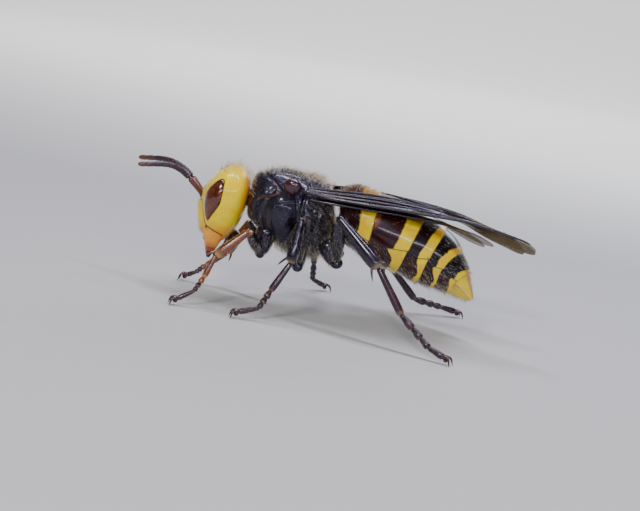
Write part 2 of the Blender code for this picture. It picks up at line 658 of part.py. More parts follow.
def wing(name, edges, sign, count, rows, veins, crossings):
    """A folded wing strip whose veins are ridges raised in its upper face.

    The edges are the front and rear edge and the tip. Rows are places across the strip;
    veins give, for a row, where its vein starts and ends along the wing, and crossings
    give, for a place along the wing, the first and last row of a cross vein.
    """
    front, rear, tip = edges
    droop = RIGHT_WING_DROOP if sign > 0 else 0.0
    places = vein_places(count, crossings)
    bm = bmesh.new()
    bmesh.ops.create_grid(bm, x_segments=len(places) - 1, y_segments=len(rows) - 1, size=1)
    raised = {}
    for vertex in bm.verts:
        column = round((vertex.co.x + 1) / 2 * (len(places) - 1))
        row = round((vertex.co.y + 1) / 2 * (len(rows) - 1))
        near, far = wing_edges(front, rear, tip, places[column] * LAST_PLACE)
        point = near.lerp(far, rows[row])
        point.z += WING_CAMBER * math.sin(math.pi * rows[row]) * (far - near).length
        point.z -= droop * places[column] ** 2
        vertex.co = Vector((point.x, -sign * point.y, point.z))
        start, end = veins.get(row, (2, 1))
        first, last = crossings.get(places[column], (2, 1))
        raised[vertex] = start <= places[column] <= end or first <= row <= last
    bmesh.ops.triangulate(bm, faces=bm.faces)
    bmesh.ops.recalc_face_normals(bm, faces=bm.faces)
    bm.normal_update()
    if sum(face.normal.z for face in bm.faces) < 0:
        bmesh.ops.reverse_faces(bm, faces=bm.faces)
    bm.normal_update()
    normals = {vertex: vertex.normal.copy() for vertex in bm.verts}
    rim = [edge for edge in bm.edges if edge.is_boundary]
    copy = bmesh.ops.duplicate(bm, geom=bm.verts[:] + bm.edges[:] + bm.faces[:])
    rim_under = [copy["edge_map"][edge] for edge in rim]
    under_faces = [item for item in copy["geom"] if isinstance(item, bmesh.types.BMFace)]
    bmesh.ops.reverse_faces(bm, faces=under_faces)
    for vertex, normal in normals.items():
        copy["vert_map"][vertex].co = vertex.co - normal * WING_THICKNESS / 2
        vertex.co = vertex.co + normal * (WING_THICKNESS / 2 + VEIN_HEIGHT * raised[vertex])
    bmesh.ops.bridge_loops(bm, edges=rim + rim_under)
    bmesh.ops.recalc_face_normals(bm, faces=bm.faces)
    return thing(bm, name)


def build_wings(colours):
    """Forewings and hindwings, folded back along the gaster."""
    for side, sign in SIDES:
        fore = wing("fore", (FOREWING_FRONT, FOREWING_REAR, FOREWING_TIP), sign, 12,
                    FOREWING_ROWS, FOREWING_VEINS, FOREWING_CROSS_VEINS)
        finish(fore, "forewing_" + side, colours["wing"], leaning=True)
        hind = wing("hind", (HINDWING_FRONT, HINDWING_REAR, HINDWING_TIP), sign, 10,
                    HINDWING_ROWS, HINDWING_VEINS, HINDWING_CROSS_VEINS)
        finish(hind, "hindwing_" + side, colours["wing"], leaning=True)


def main():
    """Build every part of the hornet."""
    clear_scene()
    colours = {
        "yellow": material("yellow_cuticle", (0.83, 0.48, 0.03), 0.3),
        "orange": material("orange_cuticle", (0.55, 0.14, 0.02), 0.3),
        "brown": material("brown_cuticle", (0.12, 0.035, 0.012), 0.35),
        "black": material("black_cuticle", (0.02, 0.013, 0.012), 0.25),
        "banded": material("banded_cuticle", (0.35, 0.14, 0.02), 0.3),
        "eye": material("eye_cornea", (0.07, 0.02, 0.01), 0.15),
        "wing": material("wing_membrane", (0.16, 0.07, 0.03), 0.3),
    }
    head = build_head(colours)
    build_antennae(head, colours)
    build_mouth(head, colours)
    finish(head, "head", colours["yellow"], leaning=True)
    build_thorax(colours)
    build_gaster(colours)
    build_legs(colours)
    build_wings(colours)


main()
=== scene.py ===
# %% [markdown]
# # A queen of the Asian giant hornet
# This lesson dresses the solid model of a hornet queen, about 60 mm from feelers to wing
# tips, as a museum would show her: standing, wings folded. The solids give the place and
# size of every part. Here each one gets its real skin, finish and hairs. The first step
# loads the solids.

# %% Load the solids
import math

import bmesh
import bpy
import numpy as np
from mathutils import Matrix, Vector
from mathutils.bvhtree import BVHTree


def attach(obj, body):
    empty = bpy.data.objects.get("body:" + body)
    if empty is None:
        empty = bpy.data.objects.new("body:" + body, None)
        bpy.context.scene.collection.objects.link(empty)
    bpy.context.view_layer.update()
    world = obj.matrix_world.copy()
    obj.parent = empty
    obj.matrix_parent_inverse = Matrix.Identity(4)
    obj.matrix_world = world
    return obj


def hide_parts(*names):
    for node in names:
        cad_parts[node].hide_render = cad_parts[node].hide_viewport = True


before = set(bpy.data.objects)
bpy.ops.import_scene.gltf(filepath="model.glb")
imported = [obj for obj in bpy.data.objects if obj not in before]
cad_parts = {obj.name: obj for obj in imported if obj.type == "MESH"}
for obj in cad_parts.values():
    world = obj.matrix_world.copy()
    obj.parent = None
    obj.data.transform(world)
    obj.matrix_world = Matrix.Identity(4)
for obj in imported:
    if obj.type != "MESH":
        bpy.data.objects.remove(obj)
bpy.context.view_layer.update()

# %% [markdown]
# ## From the drawing to the frame
# The hornet is drawn in millimetres, facing -X with its left side at -Y. Its head, thorax,
# gaster and wings are drawn upright and lean over together by a few degrees, and the legs
# are drawn where they stand. One function does the lean and turns millimetres to metres,
# so that every size below is one that a ruler could check on the animal.

# %% Places in the frame
MM = 0.001
LEAN = math.radians(4.5)
LEAN_HEIGHT = 12.0
CENTRE_X = 2.2
CENTRE_Y = -0.14
SIDES = (("left", -1), ("right", 1))


def to_frame(points, leaning=True):
    """Drawing places, an array of rows in millimetres, as places in the frame in metres."""
    x, y, z = np.asarray(points, float).reshape(-1, 3).T
    if leaning:
        up = z - LEAN_HEIGHT
        z = up * math.cos(LEAN) - y * math.sin(LEAN) + LEAN_HEIGHT
        y = y * math.cos(LEAN) + up * math.sin(LEAN)
    return np.stack([x - CENTRE_X, y - CENTRE_Y, z], 1) * MM


def curve(keys, place):
    """Rows at places, counted in keys, on a smooth curve through the keys."""
    keys = np.asarray(keys, float)
    place = np.atleast_1d(np.asarray(place, float))
    index = np.clip(place.astype(int), 0, len(keys) - 2)
    part = (place - index)[:, None]
    longer = np.vstack([2 * keys[:1] - keys[1:2], keys, 2 * keys[-1:] - keys[-2:-1]])
    before, start, end, after = (longer[index + step] for step in range(4))
    bend_in, bend_out = (end - before) / 2, (after - start) / 2
    return (start * (2 * part**3 - 3 * part**2 + 1) + bend_in * (part**3 - 2 * part**2 + part)
            + end * (3 * part**2 - 2 * part**3) + bend_out * (part**3 - part**2))


def ramp(low, high, value):
    """0 at low, 1 at high, and a soft S between them; low may be the larger."""
    part = np.clip((value - low) / (high - low), 0, 1)
    return part * part * (3 - 2 * part)


def ridge(distance, width):
    """1 on a line and 0 away from it, as a soft ridge of a width."""
    return np.exp(-((distance / width) ** 2))


def oval(across, up, centre, half_sizes):
    """How far places lie from an oval's centre, as a share of its outline."""
    return np.hypot((across - centre[0]) / half_sizes[0], (up - centre[1]) / half_sizes[1])


def unit(vectors):
    """One vector, or each row of an array, at length one."""
    return vectors / np.maximum(np.linalg.norm(vectors, axis=-1, keepdims=True), 1e-9)


# %% [markdown]
# ## Camera, floor and light
# The camera looks at the hornet's left side from 11 degrees above and rolls 10 degrees.
# It stands 230 mm away, with a lens that gives 6.8 pixels to each millimetre at the middle
# of the body. A studio would sweep a sheet of grey board up behind the animal so that no
# horizon shows, and the floor here is such a sheet, a disc whose rim curls up. Soft lamps
# do the rest: a front lamp just large enough for a crisp glint, two long strips for the
# streaks on wings and legs, a cool one behind, and one that lights the sweep alone.

# %% Camera
VIEW_ROLL = math.radians(10)
VIEW_HEIGHT = math.radians(11)
VIEW_DISTANCE = 230.0
VIEW_TARGET = (2.02, 0, 8.77)
PICTURE_WIDTH = 640
PIXELS_PER_MM = 6.8
SENSOR_WIDTH = 36.0

back = Vector((0, -math.cos(VIEW_HEIGHT), math.sin(VIEW_HEIGHT)))
level = Vector((0, math.sin(VIEW_HEIGHT), math.cos(VIEW_HEIGHT)))
right = Vector((1, 0, 0)) * math.cos(VIEW_ROLL) + level * math.sin(VIEW_ROLL)
up = level * math.cos(VIEW_ROLL) - Vector((1, 0, 0)) * math.sin(VIEW_ROLL)
camera = bpy.data.objects.new("camera", bpy.data.cameras.new("camera"))
bpy.context.collection.objects.link(camera)
camera.data.sensor_width = SENSOR_WIDTH
camera.data.lens = PIXELS_PER_MM * VIEW_DISTANCE / PICTURE_WIDTH * SENSOR_WIDTH
camera.data.clip_start = 0.01
stand = Vector(to_frame(Vector(VIEW_TARGET) + back * VIEW_DISTANCE, leaning=False)[0])
camera.matrix_world = Matrix.Translation(stand) @ Matrix((right, up, back)).transposed().to_4x4()
bpy.context.scene.camera = camera
print("camera lens", round(camera.data.lens, 1), "mm")


# %% Objects, colours and nodes
def new_piece(name, bm):
    """An object in the scene from a bmesh."""
    mesh = bpy.data.meshes.new(name)
    bm.to_mesh(mesh)
    bm.free()
    mesh.shade_smooth()
    piece = bpy.data.objects.new(name, mesh)
    bpy.context.collection.objects.link(piece)
    return piece


def colour(code):
    """An sRGB hex colour as the linear red, green, blue and alpha that Blender wants."""
    parts = [int(code[place:place + 2], 16) / 255 for place in (1, 3, 5)]
    return (*[part / 12.92 if part <= 0.04045 else ((part + 0.055) / 1.055) ** 2.4
              for part in parts], 1.0)


def add(tree, kind, values=None, **settings):
    """Add a node with its settings; values sets inputs to numbers, colours or sockets."""
    made = tree.nodes.new(kind)
    for name, value in settings.items():
        setattr(made, name, value)
    for key, value in (values or {}).items():
        if isinstance(value, bpy.types.NodeSocket):
            tree.links.new(value, made.inputs[key])
        else:
            made.inputs[key].default_value = value
    return made


def start_material(name, **constants):
    """A new Principled material with constant values on its shader's own sockets."""
    made = bpy.data.materials.new(name)
    made.use_nodes = True
    shader = made.node_tree.nodes["Principled BSDF"]
    for key, value in constants.items():
        shader.inputs[key.replace("_", " ").title().replace("Ior", "IOR")].default_value = value
    return made, made.node_tree, shader


# %% Floor and lamps
def lamp(name, place, aim, size, power, tint):
    """A rectangular soft lamp, its place and aim in millimetres, its power in watts."""
    made = bpy.data.objects.new(name, bpy.data.lights.new(name, "AREA"))
    bpy.context.collection.objects.link(made)
    made.data.shape = "RECTANGLE"
    made.data.size, made.data.size_y = size[0] * MM, size[1] * MM
    made.data.energy = power
    made.data.color = colour(tint)[:3]
    start, end = Vector(place) * MM, Vector(aim) * MM
    made.location = start
    made.rotation_mode = "QUATERNION"
    made.rotation_quaternion = (end - start).to_track_quat("-Z", "Y")


lamp("front", (-100, -275, 225), (0, 0, 10), (64, 54), 0.5, "#fffaf0")
lamp("strip", (70, -250, 90), (4, 0, 14), (260, 16), 0.24, "#eef0ff")
lamp("above", (20, 30, 300), (0, 0, 0), (320, 24), 0.9, "#f0eeff")
lamp("behind", (140, 260, 150), (0, 0, 12), (160, 90), 0.22, "#eaf0ff")
lamp("backdrop", (40, 300, 380), (60, 900, 40), (500, 100), 7.0, "#ffffff")

FLOOR_FLAT = 0.55
FLOOR_SWEEP = 0.5
FLOOR_STEPS = 12
BOARD_GRAIN = 2.5
floor_bm = bmesh.new()
bmesh.ops.create_circle(floor_bm, cap_ends=True, segments=96, radius=FLOOR_FLAT)
edges = [edge for edge in floor_bm.edges if edge.is_boundary]
for step in range(1, FLOOR_STEPS + 1):
    angle = math.radians(90 * step / FLOOR_STEPS)
    grown = bmesh.ops.extrude_edge_only(floor_bm, edges=edges)["geom"]
    edges = [item for item in grown if isinstance(item, bmesh.types.BMEdge) and item.is_boundary]
    reach = FLOOR_FLAT + FLOOR_SWEEP * math.sin(angle)
    for vertex in {vertex for edge in edges for vertex in edge.verts}:
        vertex.co = vertex.co.xy.normalized().to_3d() * reach
        vertex.co.z = FLOOR_SWEEP * (1 - math.cos(angle))
bmesh.ops.recalc_face_normals(floor_bm, faces=floor_bm.faces)
floor = new_piece("floor", floor_bm)
floor_paint, tree, shader = start_material("matt_grey_board", roughness=0.8)
coordinates = add(tree, "ShaderNodeTexCoord")
grain = add(tree, "ShaderNodeTexNoise", {"Vector": coordinates.outputs["Object"],
                                         "Scale": 1 / (BOARD_GRAIN * MM)})
tone = add(tree, "ShaderNodeMapRange", {"Value": grain.outputs["Fac"], "To Min": 0.57, "To Max": 0.6})
tree.links.new(tone.outputs["Result"], shader.inputs["Base Color"])
floor.data.materials.append(floor_paint)
world = bpy.data.worlds.new("room")
world.use_nodes = True
world.node_tree.nodes["Background"].inputs["Color"].default_value = colour("#c9cdd2")
world.node_tree.nodes["Background"].inputs["Strength"].default_value = 0.23
bpy.context.scene.world = world

# %% [markdown]
# ## Closed skins
# Every part of an insect's shell is a closed, rounded form. Each one here starts as a ball
# made by one operator, which has no seam and closes at both poles. The ball's turn, all
# round, and its part, from pole to pole, then say where each of its points lies on the real
# form. A second function may raise or sink the skin along its normals, for sutures and
# bulges, and may leave marks on it that the materials read.

# %% A skin from a ball
FORMS = {}


def mark(mesh, name, values):
    """Leave a number on each vertex for the materials to read."""
    mesh.attributes.new(name, "FLOAT", "POINT").data.foreach_set("value", np.asarray(values, np.float32))


def closed_skin(name, around, along, shape, detail=None, leaning=True):
    """A closed skin; shape gives places in millimetres from each point's turn and part."""
    bm = bmesh.new()
    bmesh.ops.create_uvsphere(bm, u_segments=around, v_segments=along, radius=1)
    ball = np.array([vertex.co for vertex in bm.verts], float)
    turn = np.arctan2(ball[:, 1], ball[:, 0])
    part = np.arccos(np.clip(ball[:, 2], -1, 1)) / math.pi
    points = shape(turn, part)
    for vertex, point in zip(bm.verts, points):
        vertex.co = point
    if bm.calc_volume(signed=True) < 0:
        bmesh.ops.reverse_faces(bm, faces=bm.faces)
    piece = new_piece(name, bm)
    if detail:
        normals = np.zeros(points.size)
        piece.data.vertex_normals.foreach_get("vector", normals)
        lift, marks = detail(points, turn, part)
        points = points + normals.reshape(-1, 3) * lift[:, None]
        for key, values in marks.items():
            mark(piece.data, key, values)
    piece.data.vertices.foreach_set("co", to_frame(points, leaning).ravel())
    piece.data.calc_loop_triangles()
    corners = np.zeros(len(piece.data.loop_triangles) * 3, np.int32)
    piece.data.loop_triangles.foreach_get("vertices", corners)
    FORMS[name] = points, np.stack([turn / math.tau + 0.5, part], 1), leaning, corners.reshape(-1, 3)
    return piece


def outline_rows(outline):
    """An outline's sections, each two ends of its middle line and its half width, as rows."""
    return np.array([(*first, *second, half) for first, second, half in outline], float)


def body_shape(outline, powers, cap=0.06, bulge=0.2):
    """Places on a body outline whose ends close in a low dome; turn 0 is its first side."""
    rows = outline_rows(outline)

    def shape(turn, part):
        end = 1 - np.clip(np.minimum(part, 1 - part) / cap, 0, 1)
        place = np.clip((part - cap) / (1 - 2 * cap), 0, 1) * (len(rows) - 1)
        return body_places(rows, powers, place, turn, scale=np.cos(end * math.pi / 2),
                           shift=bulge * np.sin(end * math.pi / 2) * np.sign(part - 0.5))
    return shape


def body_places(rows, powers, place, turn, scale=1.0, shift=0.0, grow=0.0):
    """Points round an outline at places along it; the powers square off its two sides."""
    first_x, first_z, second_x, second_z, half = curve(rows, place).T
    reach = np.stack([first_x - second_x, 0 * half, first_z - second_z], 1) / 2
    length = np.linalg.norm(reach, axis=1)
    power = np.where(np.cos(turn) > 0, powers[0], powers[1])
    rise = np.sign(np.cos(turn)) * np.abs(np.cos(turn)) ** (2 / power) * scale * (1 + grow / length)
    side = np.sign(np.sin(turn)) * np.abs(np.sin(turn)) ** (2 / power) * scale * (half + grow)
    centre = np.stack([first_x + second_x, 0 * half, first_z + second_z], 1) / 2
    across = np.stack([0 * half, side, 0 * half], 1)
    along = np.stack([reach[:, 2], 0 * half, -reach[:, 0]], 1) / length[:, None]
    return centre + reach * rise[:, None] + across + along * np.reshape(shift, (-1, 1))


def down_limb(part):
    """How far along a limb a part of its ball lies, closer together at both ends."""
    return (1 - np.cos(part * math.pi)) / 2


def limb_shape(line, radii, flat=1.0, hint=(0, 0, 1), rounding=1.0):
    """Places round a smooth line, its radii spaced evenly along it, with round ends."""
    line, radii, hint = (np.asarray(given, float) for given in (line, radii, hint))
    length = np.linalg.norm(np.diff(line, axis=0), axis=1).sum()

    def shape(turn, part):
        place = down_limb(part)
        centre, behind, before = (curve(line, np.clip(place + step, 0, 1) * (len(line) - 1))
                                  for step in (0, -0.02, 0.02))
        ahead = unit(before - behind)
        side = unit(hint - ahead * (ahead @ hint)[:, None])
        radius = curve(radii[:, None], place * (len(radii) - 1))[:, 0]
        end = rounding * radii[np.where(place < 0.5, 0, -1)] / length
        near = np.clip(1 - np.minimum(place, 1 - place) / end, 0, 1)
        radius = (radius * np.sqrt(1 - near * near))[:, None]
        return (centre + side * radius * np.cos(turn)[:, None]
                + np.cross(ahead, side) * radius * flat * np.sin(turn)[:, None])
    return shape


def joined(name, pieces):
    """One piece from several, with a material slot for each different material."""
    for other in bpy.context.selected_objects:
        other.select_set(False)
    for piece in pieces:
        piece.select_set(True)
    bpy.context.view_layer.objects.active = pieces[0]
    if len(pieces) > 1:
        bpy.ops.object.join()
    pieces[0].name = name
    pieces[0].data.name = name
    return pieces[0]


def dress(piece, slot, *nodes, material=None):
    """Let a piece ride on the body and stand for its solids, with its finish."""
    if material:
        piece.data.materials.clear()
        piece.data.materials.append(material)
    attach(piece, "root")
    if nodes:
        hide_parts(*nodes)
    print(piece.name, len(piece.data.polygons), "faces")


# %% [markdown]
# ## The head
# A queen's head is a broad yellow capsule with swollen cheeks behind the eyes. On its face
# the clypeus, a raised shield, is parted from the rest by a dark suture that runs up past
# the eyes to the feelers' sockets. Carving these from blocks would leave edges, so the
# capsule is one smooth skin through nine sections from mouth to crown, and the shield,
# sockets and sutures are soft ridges and grooves in it, a tenth of a millimetre deep.

# %% Head sections and face
HEAD = (
    ((-15.3, 9.0), (-12.9, 8.4), 2.0),
    ((-15.7, 9.8), (-11.9, 9.2), 3.1),
    ((-16.1, 11.3), (-10.85, 10.8), 4.4),
    ((-16.4, 13.2), (-10.1, 13.0), 5.35),
    ((-16.35, 15.2), (-9.75, 15.2), 5.9),
    ((-15.85, 16.9), (-9.75, 17.0), 5.75),
    ((-14.8, 18.3), (-10.2, 18.6), 4.7),
    ((-13.7, 19.3), (-11.0, 19.45), 3.0),
    ((-12.8, 19.75), (-11.8, 19.8), 1.2),
)
HEAD_POWERS = (2.2, 3.2)
CLYPEUS_HEIGHT = 11.7
CLYPEUS_HALF_SIZE = (3.15, 2.75)
CLYPEUS_POWER = 2.4
CLYPEUS_RISE = 0.42
SUTURE_DEPTH = 0.1
JAW_HINGE = (-15.0, 3.35, 10.6)
SOCKET = np.array((-16.3, 1.25, 14.6))
OCELLI = np.array(((-14.15, 0, 18.95), (-13.5, 0.62, 19.3), (-13.5, -0.62, 19.3)))
OCELLUS_SUNK = (0.03, 0, 0.14)
OCELLUS_RADIUS = 0.33
EYE = np.array((-14.4, 4.9, 14.62))
EYE_SIZE = np.array((1.5, 3.22))
EYE_DOME = 0.5
EYE_DEPTH = 0.9
EYE_RAY_START = 9.0
EYE_TURN = math.radians(35)
EYE_TILT = math.radians(16)


def eye_turning(sign):
    """How an eye is turned in the head."""
    return np.array(Matrix.Rotation(EYE_TURN * sign, 3, "Z") @ Matrix.Rotation(EYE_TILT, 3, "Y"))


def eye_taper(height, across):
    """The eye is pointed below and its hind edge is flatter above; height runs from -1 to 1."""
    hind = 0.14 * ramp(-0.7, 0.8, height)
    front = 0.12 * ramp(0.2, 0.9, height)
    return 1 - 0.5 * ramp(0.2, -1.0, height) - np.where(across > 0, hind, front)


def eye_reach(points, sign):
    """How far points lie from an eye's long axis, seen square on, as a share of its outline."""
    local = (points - EYE * (1, sign, 1)) @ eye_turning(sign)
    flat = local[:, (0, 2)] / EYE_SIZE
    flat[:, 0] /= eye_taper(np.clip(flat[:, 1], -1, 1), flat[:, 0])
    return np.where(local[:, 1] * sign > -1.5, np.linalg.norm(flat, axis=1), 9.0)


def head_detail(points, turn, part):
    """Clypeus, sockets of feelers and eyes, ocelli, and the sutures between them."""
    x, y, z = points.T
    side = np.abs(y)
    face = ramp(-13.2, -14.6, x)
    shield = ((side / CLYPEUS_HALF_SIZE[0]) ** CLYPEUS_POWER
              + (np.abs(z - CLYPEUS_HEIGHT) / CLYPEUS_HALF_SIZE[1]) ** CLYPEUS_POWER) ** (1 / CLYPEUS_POWER)
    lift = CLYPEUS_RISE * ramp(1.02, 0.72, shield) * face
    seam = ridge((shield - 1.05) * 2.8, 0.14) * face * ramp(8.9, 9.6, z)
    lift -= SUTURE_DEPTH * seam
    socket = np.linalg.norm(np.stack([x, side, z], 1) - SOCKET, axis=1)
    lift += 0.16 * ridge(socket - 0.85, 0.16) - 0.45 * ridge(socket, 0.5)
    seam = np.maximum(seam, ridge(socket - 0.55, 0.16) * 0.9)
    lift += 0.22 * ridge(y, 0.45) * ridge(z - 15.6, 1.1) * face
    lift -= 0.06 * ridge(y, 0.12) * ridge(z - 17.4, 1.0) * face
    stain = 0.0 * x
    for ocellus in OCELLI:
        near = np.linalg.norm(points - ocellus, axis=1)
        lift -= 0.12 * ridge(near - 0.45, 0.16)
        stain = np.maximum(stain, ridge(near, 0.75))
    for _, sign in SIDES:
        reach = eye_reach(points, sign)
        lift -= 0.6 * ramp(1.0, 0.8, reach)
        lift += 0.06 * ridge((reach - 1.16) * 2.0, 0.16)
        # The seam mark here also makes a dark ring round each eye: painted shade where the eye meets the
        # cheek.
        seam = np.maximum(seam, ramp(1.06, 1.0, reach))
    hinge = np.linalg.norm(np.stack([x, side, z], 1) - JAW_HINGE, axis=1)
    # It also makes a dark spot at each jaw hinge: painted shade where the jaw meets the head.
    seam = np.maximum(seam, ridge(hinge, 0.42))
    cheek_line = z - 9.75 + (x + 13.0) * 0.42
    groove = ridge(cheek_line, 0.12) * ramp(-12.0, -12.7, x) * ramp(1.6, 2.2, side)
    seam = np.maximum(seam, groove * ramp(0, 0.6, x + 15.2))
    lift -= SUTURE_DEPTH * groove
    warm = np.maximum(0.85 * ramp(12.0, 8.8, z), 0.75 * ramp(-11.0, -9.8, x))
    return lift, {"seam": seam, "stain": stain, "warm": warm}


head_form = body_shape(HEAD, HEAD_POWERS, bulge=0.15)
head = closed_skin("head_capsule", 260, 150, head_form, head_detail)

# %% [markdown]
# ## Eyes and ocelli
# A hornet's compound eye is a clear, glossy shell over thousands of tiny lenses, brown-red
# in life, pointed below and leaning back. Three small ocelli sit on the crown like beads of
# amber. A ball pushed into the head would meet it in an untidy line. So the eye's outline
# is drawn on a plane that faces it, and dropped on a plain copy of the head by casting
# rays: the rim lies on the cheek all round, and only the middle is domed. The lenses are
# far too fine to model and are left to the material's bump.

# %% Eyes
plain_head = closed_skin("plain_head", 130, 75, head_form)
head_tree = BVHTree.FromPolygons(FORMS["plain_head"][0].tolist(),
                                 [tuple(face.vertices) for face in plain_head.data.polygons])
bpy.data.objects.remove(plain_head)


def eye_shape(sign):
    """Places on one compound eye, a dome laid on the head inside the eye's outline."""
    turning = eye_turning(sign)
    outward = Vector(turning @ (0, sign, 0))

    def shape(turn, part):
        height = np.cos(part * math.pi)
        ring = np.sin(part * math.pi)
        flat = np.stack([ring * np.cos(turn) * eye_taper(height, np.cos(turn)), 0 * turn, height], 1)
        starts = (flat * (EYE_SIZE[0], 0, EYE_SIZE[1])) @ turning.T + EYE * (1, sign, 1)
        depths = [head_tree.ray_cast(Vector(start) + outward * EYE_RAY_START, -outward)[3]
                  for start in starts]
        rise = EYE_RAY_START - np.array([EYE_RAY_START if depth is None else depth for depth in depths])
        across = flat[:, 0]
        bend = np.stack([1 + 0 * turn, across, height, across**2, across * height, height**2], 1)
        smooth = bend @ np.linalg.lstsq(bend, rise, rcond=None)[0]
        bow = np.abs(ring * np.sin(turn)) ** 0.72
        rise += (smooth - rise) * ramp(0.1, 0.6, bow)
        rise += np.where(np.sin(turn) > 0, EYE_DOME, -EYE_DEPTH) * bow
        return starts + rise[:, None] * np.array(outward)
    return shape


def eye_detail(points, turn, part):
    """A mark that rises to the eye's rim, which is darker than its middle."""
    return 0 * turn, {"rim": ramp(0.45, 0.95, np.abs(np.cos(part * math.pi)))}


eyes = [closed_skin("eye_shell_" + side, 96, 72, eye_shape(sign), eye_detail) for side, sign in SIDES]


def bead_shape(centre, radius):
    """Places on a small bead."""
    def shape(turn, part):
        ring = np.sin(part * math.pi)
        ball = np.stack([ring * np.cos(turn), ring * np.sin(turn), np.cos(part * math.pi)], 1)
        return ball * radius + centre
    return shape


ocelli = joined("ocelli", [closed_skin("bead", 24, 16, bead_shape(place - OCELLUS_SUNK, OCELLUS_RADIUS))
                           for place in OCELLI])

# %% [markdown]
# ## Jaws and mouthparts
# Each mandible is a broad, flattened wedge hinged at the cheek, with dark teeth on the edge
# that meets its partner. The labrum, tongue and palps fold behind them. A jaw is a limb
# with a smooth bent centre line, squeezed flat, whose inner edge is pushed out in teeth.

# %% Mandibles
MANDIBLE = ((-13.8, 2.7, 10.8), (-13.85, 2.35, 9.3), (-13.95, 1.6, 7.6), (-14.15, 0.85, 5.9))
MANDIBLE_RADII = (1.1, 1.4, 1.42, 1.18, 0.92, 0.62, 0.3)
TOOTH_PLACES = (0.62, 0.74, 0.86, 0.97)
JAW_CLEARANCE = 0.06


def jaw(side, sign):
    """One mandible with its teeth."""
    line = [(x, y * sign, z) for x, y, z in MANDIBLE]

    def detail(points, turn, part):
        place = down_limb(part)
        inner = ramp(0.55, 0.95, np.sin(turn) * -1)
        teeth = sum(ridge(place - tooth, 0.035) for tooth in TOOTH_PLACES)
        edge = 0.16 * inner * teeth
        hollow = -0.1 * ridge(turn, 0.5) * ridge(place - 0.7, 0.2)
        return edge + hollow, {"tip": ramp(0.45, 0.98, place + 0.12 * inner)}
    shape = limb_shape(line, MANDIBLE_RADII, flat=0.62 * sign, hint=(1, 0, 0), rounding=0.9)

    def kept_apart(turn, part):
        points = shape(turn, part)
        points[:, 1] = np.maximum(points[:, 1] * sign, JAW_CLEARANCE) * sign
        return points
    return closed_skin("jaw_" + side, 64, 60, kept_apart, detail)


jaws = [jaw(side, sign) for side, sign in SIDES]

# %% Mouthparts
TONGUE = ((-10.7, 0, 10.4), (-11.2, 0, 8.4), (-12.3, 0, 6.9))
TONGUE_RADII = (1.2, 1.15, 0.9, 0.55)
LABRUM = ((-15.1, 0, 9.3), (-15.0, 0, 8.1))
LABRUM_RADII = (0.35, 0.4, 0.3)
PALPS = (
    (((-11.6, 1.5, 9.4), (-12.0, 1.9, 7.9), (-12.9, 1.5, 6.7)), 0.26),
    (((-12.3, 0.7, 7.3), (-13.0, 0.8, 6.5), (-13.5, 0.6, 6.3)), 0.2),
)
tongue = closed_skin("tongue", 48, 40, limb_shape(TONGUE, TONGUE_RADII, 1.3, (1, 0, 0)))
labrum = closed_skin("labrum", 40, 24, limb_shape(LABRUM, LABRUM_RADII, 3.2, (1, 0, 0)))
palps = []
for _, sign in SIDES:
    for line, radius in PALPS:
        radii = radius * np.array((1, 0.8, 1, 0.8, 1))
        palps.append(closed_skin("palp", 14, 24, limb_shape(np.array(line) * (1, sign, 1), radii)))
mouthparts = joined("mouthparts_folded", [tongue, labrum] + palps)

# %% [markdown]
# ## Feelers
# A queen's feeler has a long scape that stands in its socket, a small pedicel and ten short
# joints, each a little waisted where it meets the next. One limb carries the whole row: its
# radius swells along each joint and dips at each waist, which is how the light breaks up
# along a real feeler.

# %% Antennae
SCAPE = ((-16.3, 1.25, 14.6), (-17.3, 1.6, 15.7), (-18.6, 2.0, 16.9))
FLAGELLUM = {
    "left": ((-18.6, -2.0, 16.9), (-20.0, -2.7, 17.9), (-22.0, -3.5, 18.35), (-25.9, -5.0, 17.8)),
    "right": ((-18.6, 2.0, 16.9), (-20.2, 2.7, 17.9), (-22.7, 3.5, 18.6), (-27.2, 5.0, 18.1)),
}
FLAGELLUM_JOINTS = 11
SCAPE_RADII = (0.26, 0.34, 0.38, 0.42, 0.4)
FLAGELLUM_RADII = (0.36, 0.43, 0.43, 0.42, 0.41, 0.4, 0.38, 0.36)


def joint_detail(points, turn, part):
    """Waists between the joints of a feeler."""
    place = down_limb(part) * FLAGELLUM_JOINTS
    nearest = np.round(place)
    waist = ridge(place - nearest, 0.1) * (nearest > 0) * (nearest < FLAGELLUM_JOINTS)
    return -0.055 * waist + 0.02 * (place % 1), {"tip": place / FLAGELLUM_JOINTS, "waist": waist}


scapes, flagella = [], []
for side, sign in SIDES:
    line = np.array(SCAPE) * (1, sign, 1)
    root = closed_skin("root", 20, 16, bead_shape(line[0] + (-0.1, 0, 0.1), 0.42))
    stem = closed_skin("stem", 28, 48, limb_shape(line, SCAPE_RADII))
    scapes.append(joined("scape_" + side, [stem, root]))
    shape = limb_shape(FLAGELLUM[side], FLAGELLUM_RADII, rounding=1.4)
    flagella.append(closed_skin("flagellum_" + side, 28, 260, shape, joint_detail))

# %% [markdown]
# ## The thorax
# The thorax is the box of muscle that carries legs and wings. Its shell is one strong case
# of fused plates: the collar or pronotum in front, the domed mesonotum on top, the swollen
# pleura at the sides, then the scutellum, metanotum and sloping propodeum. The plates don't
# move on each other, so one skin stands for all of them, and each suture is a groove
# along a line worked out from the plate's own form.

